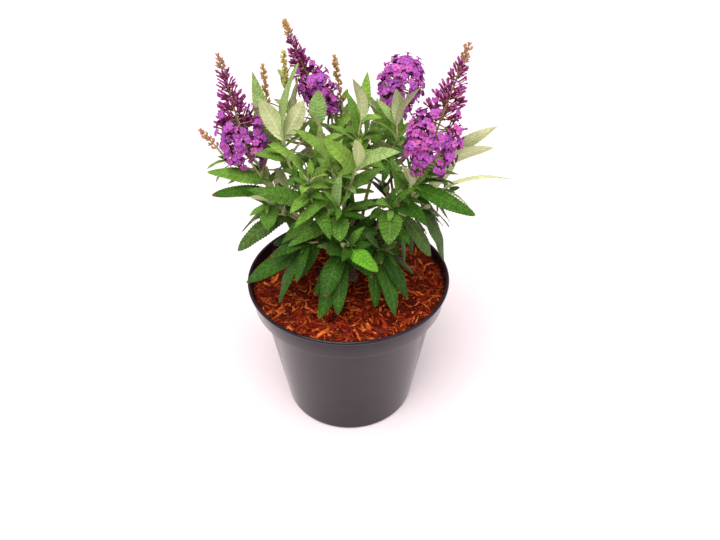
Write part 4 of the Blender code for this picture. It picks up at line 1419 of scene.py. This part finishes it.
def mulch_tree(materials):
    """Strews chips over the top of the ground it is given, inside the pot's wall."""
    tree, given, result = node_group(
        "bark_mulch", "GeometryNodeTree",
        [
            ("Ground", "Geometry"), ("Chips", "Collection"), ("Density", "Float", 1000.0),
            ("Longest chip", "Float", 0.01), ("Wall radius", "Float", 0.1), ("Seed", "Int", 1),
        ],
        [("Mulch", "Geometry")],
    )

    def chance(kind, low, high, salt):
        seed = maths(tree, "ADD", given["Seed"], salt)
        dealt = node(tree, "FunctionNodeRandomValue", {"Seed": seed}, data_type=kind)
        least, most = [socket for socket in dealt.inputs if socket.enabled][:2]
        least.default_value, most.default_value = low, high
        return next(socket for socket in dealt.outputs if socket.enabled)

    place = made_by(tree, "GeometryNodeInputPosition")
    height = node(tree, "ShaderNodeSeparateXYZ", {"Vector": place}).outputs["Z"]
    values = {0: height, 1: MULCH_LEVEL - 2 * MM}
    top = made_by(tree, "FunctionNodeCompare", values, operation="GREATER_THAN")
    strewn = made_by(tree, "GeometryNodeDistributePointsOnFaces", {
        "Mesh": given["Ground"], "Selection": top, "Density": given["Density"], "Seed": given["Seed"],
    })
    tint = chance("INT", 0, len(materials) - 1, 3)
    tinted = made_by(tree, "GeometryNodeStoreNamedAttribute", {
        "Name": "tint", "Geometry": strewn, "Value": tint,
    }, data_type="INT", domain="POINT")
    level = made_by(tree, "ShaderNodeVectorMath", {0: place, 1: (1, 1, 0)}, operation="MULTIPLY")
    reach = made_by(tree, "ShaderNodeVectorMath", {0: level}, operation="LENGTH")
    room = maths(tree, "MULTIPLY", maths(tree, "SUBTRACT", given["Wall radius"], reach), 2.0)
    dealt = maths(tree, "POWER", chance("FLOAT", 0.5, 1.0, 5), 2.6)
    length = maths(tree, "MINIMUM", maths(tree, "MULTIPLY", dealt, given["Longest chip"]), room)
    size = maths(tree, "MAXIMUM", length, SHORTEST_CHIP)
    which = chance("INT", 0, len(CHIP_SECTIONS) - 1, 7)
    turn = chance("FLOAT_VECTOR", (-1.2, -0.38, 0.0), (1.2, 0.38, math.tau), 9)
    real = set_on_points(tree, tinted, given["Chips"], turn, size, which)
    done = finish_by_code(tree, real, named(tree, "tint", "INT"), materials)
    tree.links.new(done, result["Mulch"])
    return tree


def make_mulch(ball, chips):
    values = {
        "Chips": templates_of("chip", chip_shapes()),
        "Density": CHIP_DENSITY,
        "Longest chip": LONGEST_CHIP,
        "Wall radius": MULCH_RADIUS,
        "Seed": SEED,
    }
    piece = run_tree(ball, mulch_tree(chips), values, "mulch_chips")
    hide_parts("root_ball")
    settle(piece)


# Materials

FELTED = {"Sheen_Weight": 0.06, "Sheen_Roughness": 0.5, "Specular_IOR_Level": 0.1}
WAXY = {"Specular_IOR_Level": 0.12}
# Felted undersides: name, colour and roughness
FELTS = (
    ("felt_dull", (0.2, 0.26, 0.09), 0.8), ("felt_grey", (0.58, 0.65, 0.31), 0.8),
    ("felt_pale", (0.65, 0.7, 0.36), 0.85),
)
# For each age the coat, the felt below, and the greens: name, colour, roughness, relief in millimetres
BLADES = {
    "old": (WAXY, 0, (
        ("leaf_darkest", (0.018, 0.062, 0.005), 0.4, 0.9), ("leaf_dark", (0.032, 0.094, 0.008), 0.4, 0.9),
        ("leaf_deep", (0.066, 0.122, 0.024), 0.45, 0.9), ("leaf_green", (0.042, 0.125, 0.008), 0.4, 0.9),
    )),
    "mid": (WAXY, 1, (
        ("leaf_shade", (0.03, 0.095, 0.006), 0.42, 0.9), ("leaf_mid", (0.078, 0.178, 0.02), 0.45, 0.8),
        ("leaf_fresh", (0.13, 0.265, 0.035), 0.45), ("leaf_sage", (0.2, 0.31, 0.09), 0.5),
    )),
    "young": (FELTED, 2, (
        ("leaf_soft", (0.125, 0.25, 0.03), 0.6), ("leaf_young", (0.185, 0.32, 0.04), 0.6),
        ("leaf_silver", (0.25, 0.355, 0.105), 0.65),
    )),
    "bright": (WAXY, 1, (("leaf_bright", (0.1, 0.27, 0.016), 0.45),)),
}
# Pairs of tones that are mottled together
PETAL_TONES = (
    ((0.33, 0.04, 0.3), (0.42, 0.1, 0.4)), ((0.26, 0.035, 0.3), (0.35, 0.1, 0.41)),
    ((0.4, 0.05, 0.31), (0.49, 0.14, 0.42)), ((0.35, 0.06, 0.03), (0.5, 0.13, 0.03)),
)
BUD_TONES = (
    ((0.25, 0.035, 0.17), (0.35, 0.08, 0.28)), ((0.29, 0.04, 0.25), (0.41, 0.09, 0.38)),
    ((0.25, 0.05, 0.11), (0.36, 0.1, 0.19)),
)
CHIP_TONES = (
    ((0.04, 0.002, 0.0005), (0.1, 0.006, 0.001)), ((0.11, 0.006, 0.001), (0.2, 0.014, 0.002)),
    ((0.17, 0.012, 0.002), (0.3, 0.03, 0.004)), ((0.07, 0.004, 0.001), (0.15, 0.009, 0.002)),
    ((0.36, 0.06, 0.009), (0.58, 0.15, 0.028)),
)
# Foot and tip of the specks, for each of their three tints
SPECK_COLOURS = (
    (0.38, 0.26, 0.1), (0.38, 0.12, 0.11), (0.44, 0.31, 0.1), (0.46, 0.25, 0.1),
    (0.4, 0.36, 0.08), (0.52, 0.46, 0.15),
)


def fade(tree, value, low, high):
    """0 at low and 1 at high, smoothly; low may be the larger."""
    inputs = {"Value": value, "From Min": low, "From Max": high}
    return made_by(tree, "ShaderNodeMapRange", inputs, interpolation_type="SMOOTHSTEP")


def mix(tree, share, first, second):
    """The first colour passing into the second as the share goes from 0 to 1."""
    return made_by(tree, "ShaderNodeMix", {0: share, 6: first, 7: second}, data_type="RGBA")


def object_place(tree):
    return node(tree, "ShaderNodeTexCoord").outputs["Object"]


def noise_of(tree, place, scale, detail):
    inputs = {"Vector": place, "Scale": scale, "Detail": detail}
    return node(tree, "ShaderNodeTexNoise", inputs).outputs["Fac"]


def veins_group():
    """Midrib, side veins and net of a blade, from its own surface map."""
    tree, given, result = node_group(
        "leaf_veins", "ShaderNodeTree",
        [("Pairs", "Float", VEIN_PAIRS), ("Slant", "Float", VEIN_SLANT)],
        [("Midrib", "Float"), ("Net", "Float"), ("Relief", "Float")],
    )
    surface = made_by(tree, "ShaderNodeUVMap", uv_map="surface")
    lengthwise, sideways, _ = node(tree, "ShaderNodeSeparateXYZ", {"Vector": surface}).outputs
    across = maths(tree, "ABSOLUTE", maths(tree, "MULTIPLY_ADD", sideways, 2.0, -1.0))
    steps = maths(tree, "MULTIPLY", lengthwise, given["Pairs"])
    phase = maths(tree, "SUBTRACT", steps, maths(tree, "MULTIPLY", across, given["Slant"]))
    side_vein = fade(tree, maths(tree, "PINGPONG", phase, 0.5), 0.16, 0.03)
    inputs = {"Vector": object_place(tree), "Scale": NET_SCALE}
    net = node(tree, "ShaderNodeTexVoronoi", inputs, feature="DISTANCE_TO_EDGE").outputs["Distance"]
    both = maths(tree, "MAXIMUM", side_vein, maths(tree, "MULTIPLY", fade(tree, net, 0.2, 0.0), 0.75))
    tree.links.new(fade(tree, across, 0.1, 0.03), result["Midrib"])
    tree.links.new(both, result["Net"])
    tree.links.new(maths(tree, "SUBTRACT", 1.0, both), result["Relief"])
    return tree


def mottle_group():
    """Two colours mixed in soft blotches, and the grain of the blotches."""
    tree, given, result = node_group(
        "mottle", "ShaderNodeTree",
        [("Colour", "Color"), ("Other", "Color"), ("Scale", "Float", 100.0)],
        [("Colour", "Color"), ("Grain", "Float")],
    )
    noise = noise_of(tree, object_place(tree), given["Scale"], 4)
    mixed = mix(tree, fade(tree, noise, 0.35, 0.65), given["Colour"], given["Other"])
    tree.links.new(mixed, result["Colour"])
    tree.links.new(noise, result["Grain"])
    return tree


VEINS = veins_group()
MOTTLE = mottle_group()


def mottle(tree, colour, other, scale):
    """The colour and the grain of the mottle, placed in a material."""
    inputs = {"Colour": (*colour, 1), "Other": (*other, 1), "Scale": scale}
    return node(tree, "ShaderNodeGroup", inputs, node_tree=MOTTLE).outputs


def finish(name, roughness, **sockets):
    """A material with its Principled BSDF and plain values on its own sockets."""
    made = bpy.data.materials.new(name)
    made.use_nodes = True
    shader = made.node_tree.nodes["Principled BSDF"].inputs
    shader["Roughness"].default_value = roughness
    for key, value in sockets.items():
        shader[key.replace("_", " ")].default_value = value
    return made, made.node_tree, shader


def dress(tree, shader, colour, height, depth):
    """Joins a colour, and a relief of so many millimetres, to the shader."""
    tree.links.new(colour, shader["Base Color"])
    relief = node(tree, "ShaderNodeBump", {"Distance": depth * MM, "Strength": 1.0, "Height": height})
    tree.links.new(relief.outputs["Normal"], shader["Normal"])


def blade_finish(name, colour, roughness, relief=0.5, blotch=1.4, vein=0.42, **sockets):
    """A mottled blade; its blotches, its midrib and its pressed net of veins follow its colour."""
    made, tree, shader = finish(name, roughness, **sockets)
    veins = node(tree, "ShaderNodeGroup", node_tree=VEINS).outputs
    drawn = mottle(tree, colour, [blotch * c for c in colour], 110.0)["Colour"]
    net, rib = [vein * c for c in colour], [1.35 * c + 0.035 for c in colour]
    for mask, tone in (("Net", net), ("Midrib", rib)):
        drawn = mix(tree, maths(tree, "MULTIPLY", veins[mask], 0.5), drawn, (*tone, 1))
    dress(tree, shader, drawn, veins["Relief"], relief)
    return made


def mottled_finish(name, colour, other, scale, roughness, grain=0.1, **sockets):
    made, tree, shader = finish(name, roughness, **sockets)
    mottled = mottle(tree, colour, other, scale)
    dress(tree, shader, mottled["Colour"], mottled["Grain"], grain)
    return made


def plastic_finish():
    """Black moulded plastic with a faint ripple, glossier in some places than in others."""
    made, tree, shader = finish("black_plastic", 0.2, Specular_IOR_Level=0.23)
    mottled = mottle(tree, (0.01, 0.006, 0.01), (0.015, 0.009, 0.015), 60.0)
    gloss = made_by(tree, "ShaderNodeMapRange", {"Value": mottled["Grain"], "To Min": 0.06, "To Max": 0.18})
    tree.links.new(gloss, shader["Roughness"])
    dress(tree, shader, mottled["Colour"], mottled["Grain"], 0.02)
    return made


def bark_finish(name, fissure, ridge):
    """Bark with darker fissures that run along the wood."""
    made, tree, shader = finish(name, 0.8)
    drawn = made_by(tree, "ShaderNodeMapping", {"Vector": object_place(tree), "Scale": (1.0, 1.0, 0.18)})
    noise = noise_of(tree, drawn, 900, 5)
    colour = mix(tree, fade(tree, noise, 0.38, 0.62), (*fissure, 1), (*ridge, 1))
    dress(tree, shader, colour, noise, 0.35)
    return made


def leaf_finishes():
    """For each age of leaf its greens, its felted underside and its scorched tip."""
    scorch = mottled_finish(
        "leaf_scorch", (0.07, 0.034, 0.008), (0.15, 0.07, 0.016), 400.0, 0.8, Specular_IOR_Level=0.1
    )
    felts = [blade_finish(*felt, 0.3, 1.14, 0.66, **FELTED) for felt in FELTS]
    made = {}
    for age, (coat, under, tints) in BLADES.items():
        made[age] = [blade_finish(*tint, **coat) for tint in tints], felts[under], scorch
    return made


def paired(name, tones, scale, roughness, grain, specular):
    """A mottled finish for each pair of tones."""
    return [
        mottled_finish(f"{name}_{k}", *pair, scale, roughness, grain, Specular_IOR_Level=specular)
        for k, pair in enumerate(tones)
    ]


def flower_finishes():
    tube = mottled_finish(
        "flower_tube", (0.14, 0.006, 0.055), (0.22, 0.012, 0.09), 700.0, 0.6, Specular_IOR_Level=0.15
    )
    throat = mottled_finish("flower_throat", (0.5, 0.02, 0.04), (0.7, 0.1, 0.03), 900.0, 0.6)
    purple = mottled_finish(
        "bud_tube", (0.18, 0.015, 0.08), (0.27, 0.035, 0.13), 700.0, 0.6, Specular_IOR_Level=0.15
    )
    lobes = paired("petal", PETAL_TONES, 500.0, 0.6, 0.05, 0.2)
    tips = paired("bud_tip", BUD_TONES, 600.0, 0.6, 0.1, 0.25)
    return {
        "rachis": mottled_finish("rachis", (0.26, 0.2, 0.07), (0.38, 0.29, 0.12), 500.0, 0.75, **FELTED),
        "stalk": mottled_finish("stalk", (0.2, 0.09, 0.045), (0.32, 0.19, 0.08), 500.0, 0.75),
        "floret": [part for lobe in lobes for part in (tube, lobe, throat)],
        "bud": [part for tip in tips for part in (purple, tip)],
        "speck": [
            mottled_finish(f"speck_{k // 2}_{k % 2}", colour, [1.3 * c for c in colour], 600.0, 0.7)
            for k, colour in enumerate(SPECK_COLOURS)
        ],
    }


# Studio

def make_studio():
    """Camera, white sky, pale floor and two soft suns."""
    scene = bpy.context.scene
    camera = bpy.data.cameras.new("camera")
    camera.lens = CAMERA_LENS
    camera.sensor_width = 36.0
    camera.clip_start = 0.01
    scene.camera = linked("camera", camera)
    scene.camera.location = CAMERA_PLACE
    scene.camera.rotation_euler = (CAMERA_TILT, 0, 0)
    scene.view_settings.view_transform = "Standard"
    scene.world = bpy.data.worlds.new("studio")
    scene.world.use_nodes = True
    tree = scene.world.node_tree
    sky = tree.nodes["Background"]
    sky.inputs["Color"].default_value = SKY_COLOUR
    sky.inputs["Strength"].default_value = SKY_STRENGTH
    paper = made_by(tree, "ShaderNodeBackground", {"Color": (1, 1, 1, 1)})
    seen = node(tree, "ShaderNodeLightPath").outputs["Is Camera Ray"]
    either = made_by(tree, "ShaderNodeMixShader", {0: seen, 1: sky.outputs["Background"], 2: paper})
    tree.links.new(either, tree.nodes["World Output"].inputs["Surface"])
    white, _, shader = finish("studio_floor", 0.7)
    shader["Base Color"].default_value = FLOOR_COLOUR
    corners = [(x * FLOOR_SIZE / 2, y * FLOOR_SIZE / 2, 0) for x, y in ((-1, -1), (1, -1), (1, 1), (-1, 1))]
    floor = object_of("studio_floor", corners, [(0, 1, 2, 3)], [white])
    floor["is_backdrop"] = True
    for sun in SUNS:
        soft_sun(*sun)


def soft_sun(name, towards, strength, spread_angle, colour):
    """Light from one side of the sky, soft as from a large screen."""
    data = bpy.data.lights.new(name, "SUN")
    data.energy = strength
    data.angle = math.radians(spread_angle)
    data.color = colour
    linked(name, data).rotation_euler = Vector(towards).to_track_quat("Z", "Y").to_euler()


def write_sizes():
    """The CAD model's box and the visual model's box, as plain numbers."""
    boxes = {"cad": CAD_BOX, "visual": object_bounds()}
    plain = {key: [[round(x, 6) for x in corner] for corner in box] for key, box in boxes.items()}


def main():
    make_studio()
    curves, flowers, leaves, twigs = grow()
    make_pot(plastic_finish())
    compost = mottled_finish("compost", (0.018, 0.01, 0.006), (0.045, 0.026, 0.016), 300.0, 0.95, 0.8)
    ground = mottled_finish(
        "mulch_bed", (0.025, 0.004, 0.002), (0.08, 0.01, 0.004), 350.0, 0.9, 0.8, Specular_IOR_Level=0.05
    )
    ball = make_root_ball(compost, ground)
    make_mulch(ball, paired("mulch", CHIP_TONES, 260.0, 0.6, 0.3, 0.08))
    # The stem's bark: dark old bark, painted darker still as the shade under the crown
    old_bark_and_painted_shade = bark_finish("old_bark_and_painted_shade", (0.03, 0.014, 0.007), (0.16, 0.09, 0.045))
    bough_bark = bark_finish("bough_bark", (0.1, 0.05, 0.025), (0.4, 0.28, 0.16))
    make_wood(curves, [old_bark_and_painted_shade, bough_bark])
    make_shoots(curves, twigs, [
        mottled_finish("young_wood", (0.26, 0.17, 0.08), (0.42, 0.33, 0.18), 500.0, 0.75, 0.15),
        mottled_finish("felted_shoot", (0.3, 0.33, 0.12), (0.46, 0.46, 0.2), 400.0, 0.85, 0.1, **FELTED),
    ])
    leaf_pieces(leaves, leaf_finishes())
    make_flowers(flowers, flower_finishes())
    write_sizes()


main()
